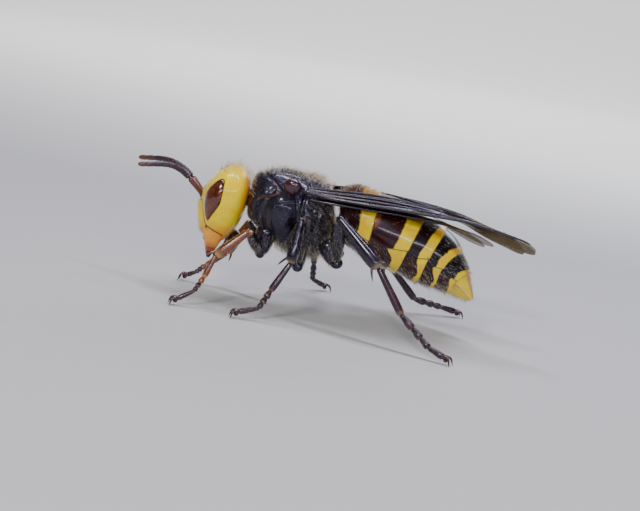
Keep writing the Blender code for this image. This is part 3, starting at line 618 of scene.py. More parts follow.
# %% Thorax sections and plates
THORAX = (
    ((-9.3, 18.1), (-9.5, 14.0), 3.6),
    ((-9.05, 19.0), (-9.1, 12.6), 4.2),
    ((-7.9, 19.8), (-7.6, 11.3), 4.7),
    ((-5.4, 20.6), (-5.4, 9.8), 5.35),
    ((-2.9, 20.5), (-3.2, 8.7), 5.5),
    ((-0.6, 20.0), (-0.8, 8.3), 5.2),
    ((1.2, 19.3), (1.2, 8.5), 4.5),
    ((2.3, 17.6), (2.5, 9.6), 3.6),
    ((2.9, 15.8), (3.1, 11.0), 2.4),
)
THORAX_POWERS = (2.25, 2.25)
SCUTELLUM = (-0.65, 1.05, 2.35)
METANOTUM = (1.7, 0.55, 2.0)
PLEURON = (-4.6, 14.3)
PLEURON_SIZE = np.array((2.15, 3.7))
METAPLEURON = (-0.7, 13.2)
METAPLEURON_SIZE = (1.0, 2.9)
TEGULA = np.array((-3.5, 5.35, 18.45))
TEGULA_SIZE = np.array((1.3, 0.9, 1.25))
TEGULA_TURN = math.radians(20)


def collar_margin(side, z):
    """Where the collar's hind margin runs, as x for a distance from the middle and a height."""
    bow = -0.9 - 7.7 * np.sqrt(np.clip(1 - (side / 6.0) ** 2, 0.02, 1))
    return bow + 0.1 * (z - 17) - 2.2 * ramp(17.7, 15.6, z) * ramp(3.4, 4.8, side)


def thorax_detail(points, turn, part):
    """Plates, bulges and sutures of the thorax."""
    x, y, z = points.T
    side = np.abs(y)
    top, flank = ramp(17.3, 18.8, z), ramp(3.2, 4.4, side) * ramp(19.3, 18.3, z)
    behind = x - collar_margin(side, z)
    lift = 0.16 * ramp(0.05, -0.3, behind) * ramp(-1.5, -0.6, behind) - 0.18 * ridge(behind - 0.12, 0.17)
    seam = ridge(behind - 0.12, 0.2)
    piping = ridge(behind + 0.1, 0.07) * ramp(15.2, 15.9, z) * ramp(3.6, 4.4, side)
    lift += 0.3 * ramp(3.2, 4.2, side) * ridge(x + 7.5, 0.9) * ridge(z - 17.4, 1.1)
    pleuron = oval(x, z, PLEURON, PLEURON_SIZE)
    lift += 0.38 * flank * ramp(1.05, 0.45, pleuron) - 0.16 * flank * ridge((pleuron - 1.1) * 2.5, 0.22)
    seam = np.maximum(seam, flank * ridge((pleuron - 1.1) * 2.5, 0.18))
    lift -= 0.14 * flank * ridge(z - 15.9 - 0.25 * (x + 4), 0.2) * ridge(x + 3.4, 1.0)
    waist = x + 2.15 - 0.09 * (z - 10)
    lift -= 0.3 * ridge(waist, 0.3) * ramp(18.6, 17.6, z)
    metapleuron = oval(x, z, METAPLEURON, METAPLEURON_SIZE)
    lift += 0.22 * flank * ramp(1.05, 0.5, metapleuron)
    hind_suture = x - 0.55 - 0.1 * (z - 12)
    lift -= 0.2 * ridge(hind_suture, 0.2) * ramp(19.0, 18.2, z)
    seam = np.maximum(seam, np.maximum(ridge(waist, 0.22) * ramp(18.6, 17.6, z),
                                       ridge(hind_suture, 0.18) * ramp(19.0, 18.2, z)))
    cross = x + 1.85 - 0.05 * y * y
    lift -= 0.26 * top * ridge(cross, 0.18) * ramp(4.4, 3.6, side)
    disc = ramp(-8.4, -7.6, x) * ramp(-2.2, -2.9, x) * top
    lift -= 0.09 * disc * ridge(y, 0.12) * ramp(-4.5, -6.0, x)
    notaulus = side - 1.5 - 0.16 * (-3.0 - x)
    lift -= 0.1 * disc * ridge(notaulus, 0.13)
    lift -= 0.07 * disc * ridge(side - 3.05, 0.12) * ramp(-6.4, -5.6, x)
    shield = 1 - oval(x, y, (SCUTELLUM[0], 0), SCUTELLUM[1:]) ** 2
    lift += (0.42 * np.sqrt(np.clip(shield, 0, 1)) - 0.1 * ridge(y, 0.16) * ramp(0, 0.4, shield)) * top
    band = 1 - oval(x, y, (METANOTUM[0], 0), METANOTUM[1:]) ** 2
    lift += 0.5 * np.sqrt(np.clip(band, 0, 1)) * ramp(16.5, 17.6, z)
    lift -= 0.22 * ridge(x - 0.78, 0.2) * top * ramp(3.6, 2.9, side)
    lift -= 0.28 * ridge(y, 0.4) * ramp(2.2, 2.9, x)
    seam = np.maximum(seam, top * ridge(cross, 0.2) * ramp(4.4, 3.6, side))
    spots = ridge(side - 1.15, 0.85) * ramp(0.05, 0.4, shield) * top
    spots = np.maximum(spots, 0.9 * ramp(0.0, 0.4, band) * ramp(16.5, 17.6, z))
    collar = ramp(-8.75, -9.15, x)
    return lift, {"seam": seam, "piping": piping, "spots": spots, "warm": collar}


thorax_form = body_shape(THORAX, THORAX_POWERS, cap=0.05, bulge=0.15)
thorax = closed_skin("thorax_case", 280, 190, thorax_form, thorax_detail)


# %% Tegulae, neck and petiole
NECK = ((-11.4, 0, 15.4), (-8.9, 0, 15.4))
NECK_RADII = (1.5, 1.35, 1.5)
PETIOLE = ((2.5, 0, 13.45), (4.4, 0, 13.55))
PETIOLE_RADII = (0.9, 0.85, 0.95)


def scale_shape(sign):
    """Places on a tegula, the rounded scale over a wing's root."""
    turning = np.array(Matrix.Rotation(-TEGULA_TURN * sign, 3, "X"))

    def shape(turn, part):
        ball = bead_shape(0, 1)(turn, part)
        ball[:, 0] *= 1 + 0.12 * ball[:, 2]
        return (ball * TEGULA_SIZE) @ turning.T + TEGULA * (1, sign, 1)
    return shape


tegulae = [closed_skin("tegula_shell_" + side, 56, 40, scale_shape(sign)) for side, sign in SIDES]
neck = closed_skin("neck_skin", 48, 24, limb_shape(NECK, NECK_RADII))
petiole = closed_skin("petiole_ring", 48, 24, limb_shape(PETIOLE, PETIOLE_RADII))

# %% [markdown]
# ## The gaster
# The gaster is six telescoping rings that bend as the queen breathes and stings. Each ring
# is a tergite above, which laps over a sternite below, and its hind margin laps over the
# next ring. A ball becomes such a ring by a short profile: out under the ring in front,
# back along the outside, over a thin rounded rim, and in again. The hinder rings end
# further forward at the side than on the back. The coloured bands follow the rings, so
# each point keeps how far, in millimetres, it lies inside the yellow.

# %% Gaster sections and bands
GASTER = (
    ((4.1, 14.7), (4.3, 12.5), 1.3),
    ((3.5, 18.4), (5.4, 11.0), 4.3),
    ((5.6, 19.75), (6.6, 10.5), 5.4),
    ((9.1, 19.4), (8.2, 9.6), 6.0),
    ((12.7, 18.8), (10.8, 8.7), 6.3),
    ((16.1, 17.7), (13.3, 8.2), 6.2),
    ((17.9, 17.0), (15.1, 7.6), 5.9),
    ((19.4, 16.1), (16.7, 7.2), 5.5),
    ((21.0, 14.9), (18.1, 7.0), 5.0),
    ((22.3, 13.4), (19.4, 6.8), 4.4),
    ((23.3, 11.9), (20.5, 6.6), 3.7),
    ((24.1, 10.3), (21.6, 6.35), 2.9),
    ((24.7, 8.6), (22.9, 6.1), 1.95),
    ((25.2, 6.7), (24.3, 5.8), 0.85),
)
GASTER_POWERS = (2.1, 2.1)
MARGINS = (0.0, 3.0, 5.0, 7.0, 9.0, 11.0, 13.0)
SLANTS = (0.0, 0.0, 0.1, 0.35, 0.8, 0.7, 0.0)
RING_LENGTHS = (6.0, 6.6, 3.4, 3.3, 3.0, 3.2)
LATERAL_EDGES = ((110, 110), (116, 98), (110, 92), (104, 94), (103, 90), (100, 92))
YELLOW_ABOVE = ((1.4, 1.4), (2.3, 2.1), (0.9, 1.45), (0.6, 1.1), (0.42, 0.8), (9.0, 9.0))
YELLOW_BELOW = ((1.0, 0.5), (3.4, 1.8), (1.5, 0.7), (1.4, 0.5), (1.2, 0.5), (9.0, 9.0))
RING_DEPTHS = (0.3, 0.15, 0.75, 0.95, 1.0, 1.0)


def hind_margin(number, turn):
    """How far along the gaster a ring ends; the hinder rings end further forward at the side."""
    turn = np.abs(turn)
    return MARGINS[number] - SLANTS[number] * ramp(0.3, 1.6, turn) * (1 - 0.4 * ramp(1.7, 2.4, turn))


def ring_shape(number):
    """Places on one ring of the gaster."""
    rows = outline_rows(GASTER)
    last = number == len(RING_LENGTHS)
    tuck = 0.3 if number > 1 else 0.0
    stops = (0.0, 0.07, 0.14, 0.9, 0.93, 0.95, 1.0)
    shares = (0, 0, 0, 1, 1, 1, 1)
    offsets = (-tuck, -tuck, 0, 0, 0.03, -0.05, -0.05)
    grows = (-0.2, -0.2, -0.12, 0.1, 0.02, -0.12, -0.2)
    scales = (0, 1, 1, 1, 1, 1, 0)
    if number == 1:
        grows = (0, 0, 0, 0.1, 0.02, -0.12, -0.2)
    if last:
        offsets = (-tuck, -tuck, 0, 0, 0, 0, 0)
        grows = (-0.2, -0.2, -0.12, 0, 0, 0, 0)
        scales = (0, 1, 1, 1, 0.85, 0.6, 0)

    def shape(turn, part):
        share = np.interp(part, stops, shares)
        place = (hind_margin(number - 1, turn) * (1 - share) + hind_margin(number, turn) * share
                 + np.interp(part, stops, offsets))
        return body_places(rows, GASTER_POWERS, place, turn, np.interp(part, stops, scales),
                           grow=np.interp(part, stops, grows))
    return shape


def ring_detail(number):
    """Tergite over sternite, and the marks for the bands."""
    first_edge, last_edge = np.radians(LATERAL_EDGES[number - 1])
    wide, narrow = YELLOW_ABOVE[number - 1], YELLOW_BELOW[number - 1]
    nominal = MARGINS[number] - MARGINS[number - 1]

    def detail(points, turn, part):
        along = np.clip((part - 0.14) / 0.76, 0, 1)
        turn = np.abs(turn)
        lateral = first_edge + (last_edge - first_edge) * along
        above = ramp(0.03, -0.03, turn - lateral)
        outside = ramp(0.1, 0.16, part) * ramp(0.96, 0.92, part)
        lift = (0.09 * above - 0.1 * (1 - above)) * outside
        reach = hind_margin(number, turn) - hind_margin(number - 1, turn)
        length = RING_LENGTHS[number - 1] * reach / nominal
        upper_width = wide[0] + (wide[1] - wide[0]) * ramp(0.4, 1.1, turn)
        lower_width = narrow[0] + (narrow[1] - narrow[0]) * ramp(1.75, 2.25, turn)
        wave = 0.07 * np.sin(turn * 7 + number) + 0.05 * np.sin(turn * 13 + 2 * number)
        band = (along - 1) * length + upper_width * above + lower_width * (1 - above) + wave
        # The seam mark darkens the line under the tergite's edge: painted shade where it laps over the
        # sternite.
        seam = ridge((turn - lateral) * 5, 0.13) * outside
        amber = 0.5 * ramp(0.5, 0.2, along) * (number == 1)
        if number == 2:
            amber = ridge(along - 0.05, 0.1) * above * ramp(1.75, 1.3, turn)
        marks = {"band": band, "seam": seam, "amber": amber, "rim": ramp(0.885, 0.91, part),
                 "deep": RING_DEPTHS[number - 1] * (0.35 + 0.65 * above) + 0 * along,
                 # The crest mark is the top of each ring, under the wings, where the bands get painted shade.
                 "crest": ramp(1.1, 0.75, turn)}
        return lift, marks
    return detail


rings = [closed_skin("gaster_ring_%d" % number, 220, 70 if number < 3 else 56,
                     ring_shape(number), ring_detail(number)) for number in range(1, 7)]

# %% [markdown]
# ## Legs
# Each leg is a coxa, a short trochanter, a femur, a tibia with spurs at its end, five
# tarsal joints, and two claws with a pad between them. Every one of these is a closed
# tapered limb whose end sits in the next, as on the animal. The tarsal joints widen towards
# their far ends like little cups, and the claws rest on the floor.

# %% Leg lines and sizes
LEGS = {
    "front_left": ((-6.5, -3.0, 7.9), (-8.5, -7.0, 11.8), (-12.6, -8.0, 7.6),
                   (-13.7, -8.8, 4.5), (-14.7, -9.3, 2.4), (-16.8, -9.8, 1.0)),
    "front_right": ((-6.5, 3.0, 7.9), (-9.3, 6.6, 10.9), (-12.0, 6.3, 5.3),
                    (-14.8, 6.4, 3.0), (-16.1, 6.4, 1.7), (-17.4, 6.5, 1.0)),
    "middle_left": ((-0.9, -4.1, 7.0), (-1.4, -7.6, 15.2), (-1.9, -9.0, 8.6),
                    (-4.0, -10.2, 4.5), (-5.2, -10.8, 1.9), (-7.9, -11.3, 1.0)),
    "middle_right": ((-0.9, 4.1, 7.0), (-0.7, 8.2, 14.8), (0.7, 12.0, 8.6),
                     (1.3, 14.0, 4.6), (1.5, 15.2, 1.9), (3.3, 16.4, 1.0)),
    "hind_left": ((4.6, -3.7, 8.4), (3.6, -7.8, 16.2), (10.5, -11.0, 10.5),
                  (14.6, -13.6, 5.1), (19.0, -15.9, 1.7), (21.2, -16.8, 1.0)),
    "hind_right": ((4.6, 3.7, 8.4), (4.6, 8.6, 15.6), (13.0, 9.2, 7.2),
                   (17.6, 11.4, 2.4), (21.9, 13.2, 1.5), (24.4, 14.0, 1.0)),
}
COXA_TOPS = {"front": (-6.2, 2.4, 12.5), "middle": (-1.6, 2.6, 11.0), "hind": (2.2, 2.6, 11.8)}
LEG_THICKNESS = {"front": 0.95, "middle": 1.12, "hind": 1.28}
SPURS = {"front": 1, "middle": 2, "hind": 2}
SPUR_LENGTH = 1.7
COXA_RADII = (1.35, 1.45, 1.4, 1.15, 0.72)
TROCHANTER_RADII = np.array((0.6, 0.74, 0.62))
FEMUR_RADII = np.array((0.5, 0.78, 0.92, 0.95, 0.88, 0.74, 0.66))
KNEE_RADII = np.array((0.5, 0.6, 0.48))
TIBIA_RADII = np.array((0.5, 0.55, 0.64, 0.72, 0.8, 0.82, 0.7))
SPUR_RADII = (0.2, 0.17, 0.12, 0.03)
TARSAL_ROOTS = (0.34, 0.26, 0.26, 0.26, 0.26)
TARSAL_ENDS = (0.47, 0.46, 0.45, 0.42, 0.4)
TARSAL_SHARES = (0.42, 0.72)
PAD_RADII = (0.2, 0.3, 0.34, 0.26)
CLAW_RADII = (0.22, 0.22, 0.18, 0.12, 0.03)


def bar(name, line, radii, around=28, along=40, **shaping):
    """A leg's limb with a mark from 0 at its root to 1 at its end; it stops at the floor."""
    shape = limb_shape(line, radii, **shaping)

    def on_floor(turn, part):
        points = shape(turn, part)
        points[:, 2] = np.maximum(points[:, 2], 0.01)
        return points
    return closed_skin(name, around, along, on_floor,
                       lambda points, turn, part: (0 * turn, {"tip": down_limb(part)}), leaning=False)


def foot_pieces(leg, thick, ankle, heel, toe_root, toe):
    """The joints of one tarsus with its pad, and its two claws."""
    halfway = [heel + (toe_root - heel) * share for share in TARSAL_SHARES]
    stops = [ankle, heel, *halfway, toe_root, toe]
    joints = []
    for number, (slim, wide) in enumerate(zip(TARSAL_ROOTS, TARSAL_ENDS)):
        start, end = stops[number], stops[number + 1]
        ahead = unit(end - start)
        radii = thick * np.array((slim, slim + 0.06, wide - 0.04, wide, wide * 0.9))
        joints.append(bar("joint_%d_%s" % (number, leg), (start - ahead * 0.12, end + ahead * 0.06),
                          radii, 20, 26, rounding=0.7))
    ahead = unit((toe - toe_root) * (1, 1, 0))
    across = np.array((-ahead[1], ahead[0], 0))
    pad = (toe - ahead * 0.1, toe + ahead * 0.3 + (0, 0, -0.3), toe + ahead * 0.5 + (0, 0, -0.62))
    joints.append(bar("pad", pad, PAD_RADII, 18, 18))
    claws = []
    for fork in (-1, 1):
        root = toe - unit(toe - toe_root) * 0.3 + across * 0.14 * fork
        bend = toe + ahead * 0.8 + across * 0.5 * fork + (0, 0, 0.02)
        tip = toe + ahead * 1.2 + across * 0.8 * fork + (0, 0, -0.97)
        claws.append(bar("claw", (root, bend, tip), CLAW_RADII, 14, 26))
    return joints, claws


def leg_pieces(leg, line):
    """Coxa, femur with trochanter, tibia with spurs, and tarsus with claws."""
    row, side = leg.split("_")
    sign = -1 if side == "left" else 1
    thick = LEG_THICKNESS[row]
    hip, knee, ankle, heel, toe_root, toe = np.array(line, float)
    thigh, shank, onward = unit(knee - hip), unit(ankle - knee), unit(heel - ankle)
    top = np.array(COXA_TOPS[row]) * (1, sign, 1)
    coxa = bar("coxa_skin_" + leg, (top, hip), COXA_RADII, 40, 40)
    trochanter = bar("trochanter", (hip - thigh * 0.35, hip + thigh * 1.35),
                     thick * TROCHANTER_RADII, 28, 24)
    femur = bar("femur_" + leg, (hip + thigh, knee - thigh * 0.1), thick * FEMUR_RADII, 32, 60, flat=0.85)
    tibia = bar("tibia_" + leg, (knee, ankle - shank * 0.05), thick * TIBIA_RADII, 32, 60, flat=0.9)
    shins = [tibia, bar("knee", (knee - thigh * 0.5, knee + shank * 0.55), thick * KNEE_RADII, 24, 20)]
    across = unit(np.cross(shank, (0, sign, 0)))
    for number in range(SPURS[row]):
        lean = across * (1 if number == 0 else -1)
        root = ankle - shank * 0.75 * thick + lean * 0.5 * thick
        reach = unit(shank * 0.4 + onward * 0.6 + lean * 0.55) * SPUR_LENGTH * thick
        shins.append(bar("spur", (root, root + reach * 0.5 + lean * 0.06, root + reach), SPUR_RADII, 14, 20))
    femora = joined("femur_skin_" + leg, [femur, trochanter])
    tibiae = joined("tibia_skin_" + leg, shins)
    return coxa, femora, tibiae, *foot_pieces(leg, thick, ankle, heel, toe_root, toe)


legs = {leg: leg_pieces(leg, line) for leg, line in LEGS.items()}
print("legs:", len(legs))

# %% [markdown]
# ## Wings
# At rest a hornet folds each forewing lengthwise, like a fan, so it lies as a narrow strip
# beside the back with the hindwing under it. The membrane is only hundredths of a
# millimetre thick, held out by tubular veins. A grid is laid between the wing's front and
# rear edges, bent down and back at the fold, and given its thickness by Solidify. The
# veins are thin limbs laid along lines on that same surface.

# %% Wing edges and veins
WINGS = {
    "forewing": (
        ((-1.9, -5.8, 18.0), (2.0, -6.9, 17.75), (7.8, -7.9, 17.85), (12.6, -8.3, 17.95),
         (17.4, -8.5, 18.0), (22.0, -8.3, 17.95), (26.0, -7.9, 17.4), (30.0, -7.2, 16.7)),
        ((-1.9, -5.2, 18.6), (2.0, -4.9, 18.95), (7.8, -4.2, 19.3), (12.6, -4.0, 19.15),
         (17.4, -4.2, 18.5), (22.0, -4.6, 17.5), (26.0, -4.7, 16.1), (30.0, -5.2, 15.2)),
        (32.2, -6.4, 15.4)),
    "hindwing": (
        ((-0.8, -5.8, 17.0), (3.0, -6.5, 17.0), (10.0, -7.0, 17.1),
         (17.0, -7.3, 17.0), (23.0, -7.1, 16.4)),
        ((-0.8, -5.3, 17.3), (3.0, -5.2, 17.95), (10.0, -5.3, 18.2),
         (17.0, -5.0, 17.2), (23.0, -5.2, 15.5)),
        (26.2, -6.1, 15.1)),
}
VEINS = {
    "forewing": (
        ((0.0, 0.03), (0.5, 0.02), (0.95, 0.04), 0.25), ((0.0, 0.17), (0.4, 0.15), (0.86, 0.08), 0.2),
        ((0.02, 0.46), (0.45, 0.46), (0.86, 0.4), 0.17), ((0.02, 0.88), (0.35, 0.86), (0.64, 0.8), 0.16),
        ((0.36, 0.46), (0.37, 0.65), (0.36, 0.87), 0.13), ((0.52, 0.14), (0.53, 0.3), (0.52, 0.46), 0.13),
        ((0.62, 0.44), (0.63, 0.6), (0.62, 0.8), 0.12), ((0.8, 0.09), (0.81, 0.25), (0.8, 0.41), 0.12)),
    "hindwing": (
        ((0.0, 0.04), (0.4, 0.05), (0.72, 0.08), 0.2), ((0.1, 0.64), (0.4, 0.62), (0.7, 0.55), 0.14),
        ((0.5, 0.07), (0.51, 0.35), (0.5, 0.61), 0.12)),
}
WING_FOLD = {"forewing": 1.7, "hindwing": 1.0}
WING_TIP_FROM = 0.9
WING_CAMBER = 0.06
RIGHT_WING_DROOP = 1.3
MEMBRANE_THICKNESS = 0.07


def wing_places(wing, sign, along, across, lift=0.0):
    """Places on a wing from its root to its tip and from its front edge to its rear edge."""
    front, rear, tip = (np.array(edge, float) for edge in WINGS[wing])
    stop = np.minimum(along / WING_TIP_FROM, 1) * (len(front) - 1)
    near, far = curve(front, stop), curve(rear, stop)
    part = np.clip((along - WING_TIP_FROM) / (1 - WING_TIP_FROM), 0, 1)[:, None]
    closing = 1 - np.sqrt(np.clip(1 - part * part, 0, 1))
    onward = (tip - (front[-1] + rear[-1]) / 2) * part
    middle = (near + far) / 2
    near, far = near + (middle - near) * closing + onward, far + (middle - far) * closing + onward
    points = near + (far - near) * across[:, None]
    width = np.linalg.norm(far - near, axis=1)
    pleats = 0.002 * np.sin(across * math.tau * 4) + 0.2 * ridge(across - 0.3, 0.15)
    points[:, 2] += (WING_CAMBER * np.sin(math.pi * across) + 0.6 * pleats) * width + lift
    if sign > 0:
        points[:, 2] -= RIGHT_WING_DROOP * along**2
    return points * (1, -sign, 1)


def membrane(wing, sign, side):
    """The folded membrane of one wing."""
    fold = WING_FOLD[wing]
    bm = bmesh.new()
    bmesh.ops.create_grid(bm, x_segments=170, y_segments=72 if fold > 1 else 40, size=1)
    grid = np.array([vertex.co for vertex in bm.verts], float)
    along = (grid[:, 0] + 1) / 2 * 0.999
    sheet = (grid[:, 1] + 1) / 2 * fold
    across = np.where(sheet > 1, 2 - sheet, sheet)
    under = np.where(sheet > 1, -0.34 * ramp(0, 0.12, sheet - 1), 0)
    points = wing_places(wing, sign, along, across, under)
    for vertex, point in zip(bm.verts, to_frame(points)):
        vertex.co = point
    bmesh.ops.recalc_face_normals(bm, faces=bm.faces)
    piece = new_piece(wing + "_membrane_" + side, bm)
    mark(piece.data, "along", along)
    wall = piece.modifiers.new("wall", "SOLIDIFY")
    wall.thickness = MEMBRANE_THICKNESS * MM
    wall.offset = 0
    return piece


def vein_net(wing, sign, side):
    """The veins of one wing, thin limbs on its surface."""
    made = []
    for *keys, radius in VEINS[wing]:
        steps = curve(keys, np.linspace(0, len(keys) - 1, 24))
        line = wing_places(wing, sign, np.clip(steps[:, 0], 0, 1), steps[:, 1], 0.03)
        radii = radius * np.array((1, 1, 0.9, 0.75, 0.5))
        rings = 110 if len(made) < 4 and wing == "forewing" else 60
        made.append(closed_skin("vein", 12, rings, limb_shape(line, radii, flat=0.75)))
    return joined(wing + "_veins_" + side, made)


membranes = {(wing, side): membrane(wing, sign, side) for wing in WINGS for side, sign in SIDES}
vein_nets = {(wing, side): vein_net(wing, sign, side) for wing in WINGS for side, sign in SIDES}

# %% [markdown]
# ## Cuticle
# An insect's shell is chitin bound with protein: a smooth, hard, slightly oily surface with
# a refractive index near 1.56, so it shines like lacquer. Close up it is dimpled by pits
# and hair roots a tenth of a millimetre apart, and its colour lies under the gloss and
# drifts from spot to spot. One function starts every such finish: it gives the gloss, the
# pits as bump, and a slow drift of tone. Another lays colours over one another where the
# marks on a skin say so, and most finishes need no more than these two.

# %% Start of every cuticle
CUTICLE_IOR = 1.56
PIT_SPACING = 0.16
GRAIN_SIZE = 0.45
DRIFT_SIZE = 1.6
DRIFTING = (0.3, 0.7)


def painted(tree, under, *layers):
    """Colours laid over one another, each a hex code or a socket.

    A layer has a mark's name or a socket, then the values where it sets in and is full,
    with its full strength where that is under 1, or None for the bare mark, and a colour.
    """
    for factor, limits, over in layers:
        if isinstance(factor, str):
            factor = add(tree, "ShaderNodeAttribute", attribute_name=factor).outputs["Fac"]
        if limits:
            values = dict(zip(("From Min", "From Max", "To Max"), limits))
            factor = add(tree, "ShaderNodeMapRange", {"Value": factor, **values},
                         interpolation_type="SMOOTHSTEP").outputs["Result"]
        under, over = (colour(tone) if isinstance(tone, str) else tone for tone in (under, over))
        under = add(tree, "ShaderNodeMix", {0: factor, 6: under, 7: over}, data_type="RGBA").outputs[2]
    return under


def cuticle(name, roughness, pits=0.25, coat=0.45, gloss_tint="#ffffff", relief=0.02, **constants):
    """A cuticle: its material, tree, shader and a factor that drifts over it."""
    made, tree, shader = start_material(
        name, roughness=roughness, ior=CUTICLE_IOR, coat_weight=coat, coat_roughness=0.1,
        coat_ior=CUTICLE_IOR, specular_tint=colour(gloss_tint), **constants)
    at = {"Vector": add(tree, "ShaderNodeTexCoord").outputs["Object"]}
    drift = add(tree, "ShaderNodeTexNoise", {**at, "Scale": 1 / (DRIFT_SIZE * MM), "Detail": 4.0})
    cells = add(tree, "ShaderNodeTexVoronoi", {**at, "Scale": 1 / (PIT_SPACING * MM)})
    pit = add(tree, "ShaderNodeMapRange",
              {"Value": cells.outputs["Distance"], "From Min": 0.05, "From Max": 0.3})
    grain = add(tree, "ShaderNodeTexNoise", {**at, "Scale": 1 / (GRAIN_SIZE * MM), "Detail": 3.0})
    swell = add(tree, "ShaderNodeMath", {0: grain.outputs["Fac"], 1: 2.0, 2: pit.outputs["Result"]},
                operation="MULTIPLY_ADD")
    bump = add(tree, "ShaderNodeBump",
               {"Height": swell.outputs[0], "Strength": pits, "Distance": relief * MM})
    rough = add(tree, "ShaderNodeMapRange", {"Value": drift.outputs["Fac"], "From Min": 0.3, "From Max": 0.7,
                                             "To Min": roughness * 0.75, "To Max": roughness * 1.3})
    tree.links.new(bump.outputs["Normal"], shader.inputs["Normal"])
    tree.links.new(rough.outputs["Result"], shader.inputs["Roughness"])
    return made, tree, shader, drift.outputs["Fac"]


def finish(name, roughness, first, second, *layers, drifting=DRIFTING, **gloss):
    """A cuticle that drifts between two colours, with layers of colour over them."""
    made, tree, shader, drift = cuticle(name, roughness, **gloss)
    tree.links.new(painted(tree, first, (drift, drifting, second), *layers), shader.inputs["Base Color"])
    return made


# %% [markdown]
# ## Yellow of the head
# The head's yellow is a pigment under clear cuticle. It is lemon on the crown and cheeks,
# turns to orange towards the mouth and the hind edge, and is stained brown round the
# ocelli. Sutures, where the cuticle folds in, show dark red-brown, and the same colour is
# painted shade round the eyes and at the jaw hinges.

# %% Yellow cuticle
# The seam layer is dark red-brown on the sutures, and painted shade round the eyes and at the jaw hinges.
yellow = finish("yellow_pigmented_cuticle", 0.3, "#ffe400", "#fdd000", ("warm", None, "#ee8200"),
                ("stain", (0.2, 0.9, 0.75), "#8c4a12"), ("seam", (0.25, 0.8), "#32100a"),
                drifting=(0.35, 0.7), pits=0.3, coat=0.35, specular_ior_level=0.1,
                subsurface_weight=0.08, subsurface_radius=(0.6 * MM, 0.3 * MM, 0.1 * MM))
dress(head, "yellow_cuticle", "head", material=yellow)

# %% Eye cornea
# The lenses are 0.03 mm across on the animal and are drawn at 0.11 mm so that they show.
LENS_SPACING = 0.11
CLOUD_SIZE = 0.9
cornea, tree, shader = start_material("faceted_eye_cornea", roughness=0.16, ior=1.5, coat_weight=0.8,
                                      coat_roughness=0.05)
at = {"Vector": add(tree, "ShaderNodeTexCoord").outputs["Object"]}
clouds = add(tree, "ShaderNodeTexNoise",
             {**at, "Scale": 1 / (CLOUD_SIZE * MM), "Detail": 6.0, "Roughness": 0.7}).outputs["Fac"]
lenses = add(tree, "ShaderNodeTexVoronoi", {**at, "Scale": 1 / (LENS_SPACING * MM)}).outputs["Distance"]
tone = painted(tree, "#4e1808", (clouds, (0.35, 0.68), "#9c4a12"), (lenses, (0.1, 0.6, 0.5), "#1c0805"),
               ("rim", (0.0, 1.0, 0.3), "#1c0805"))
tree.links.new(tone, shader.inputs["Base Color"])
bump = add(tree, "ShaderNodeBump", {"Height": lenses, "Strength": 0.25, "Distance": 0.02 * MM}, invert=True)
tree.links.new(bump.outputs["Normal"], shader.inputs["Normal"])
for eye, (side, _) in zip(eyes, SIDES):
    dress(eye, "eye_cornea", "eye_" + side, material=cornea)
amber = finish("amber_ocellus", 0.12, "#7a3a10", "#b8641c", drifting=None, pits=0.02, coat=1.0)
dress(ocelli, "eye_cornea", material=amber)

# %% [markdown]
# ## Orange, brown and black
# The same cuticle is orange on the jaws, scapes, tegulae and front shins, brown on feelers,
# mouthparts and feet, and almost black on the thorax and most of the legs. Teeth and claws
# are hardened and darker still. Black cuticle throws back a violet-blue light, from many
# thin clear layers in it, so its gloss is tinted.

# %% Orange, brown and horn finishes
jaw_orange = finish("orange_jaw_cuticle", 0.26, "#ffae00", "#ee8c00",
                    ("tip", (0.1, 0.75), "#9a3200"), ("tip", (0.86, 1.0), "#1d0806"))
tawny = finish("tawny_cuticle", 0.28, "#6d2412", "#4a160c")
wine = finish("wine_red_cuticle", 0.22, "#4e1510", "#260a0b",
              pits=0.6, coat=0.7, gloss_tint="#f0e4ff", relief=0.05)
# The tip layer is a painted highlight: pale gold at the far end of each shin and foot joint.
shin_tan = finish("tan_shin_cuticle", 0.26, "#8a4412", "#5c260c", ("tip", (0.8, 1.0, 0.7), "#d8a860"),
                  pits=0.3)
chestnut = finish("chestnut_cuticle", 0.32, "#4d1f12", "#2a100a", pits=0.3)
feeler_brown = finish("feeler_brown_cuticle", 0.36, "#3a1e18", "#2a1512",
                      ("tip", (0.75, 1.0, 0.6), "#7a5136"), ("waist", (0.3, 0.9, 0.7), "#140806"),
                      pits=0.4, coat=0.35, gloss_tint="#dcdcff")
claw_horn = finish("claw_horn", 0.25, "#4a2012", "#4a2012", ("tip", (0.2, 0.9), "#1c0805"), pits=0.1)

# %% Black cuticle of thorax and legs
GLOSS_VIOLET = "#c9c6ff"
black = finish("black_violet_cuticle", 0.3, "#0c0608", "#130b10", ("warm", None, "#42120a"),
               ("spots", (0.3, 0.9, 0.85), "#b25a08"), ("seam", (0.2, 0.9, 0.8), "#080404"),
               ("piping", (0.3, 0.8), "#94571c"), pits=0.9, coat=0.4, gloss_tint=GLOSS_VIOLET, relief=0.1)
# The tip layer is a painted highlight: pale at the far end of each leg part, as at the knees.
leg_black = finish("leg_black_cuticle", 0.26, "#10090c", "#1a0f15", ("tip", (0.9, 1.0, 0.8), "#a98a6c"),
                   pits=0.3, gloss_tint=GLOSS_VIOLET)
# The tip layer is a painted highlight: paler at the far end of each foot joint.
foot_brown = finish("foot_brown_cuticle", 0.3, "#241009", "#38190e", ("tip", (0.88, 1.0, 0.7), "#8f6242"),
                    pits=0.35, gloss_tint=GLOSS_VIOLET)

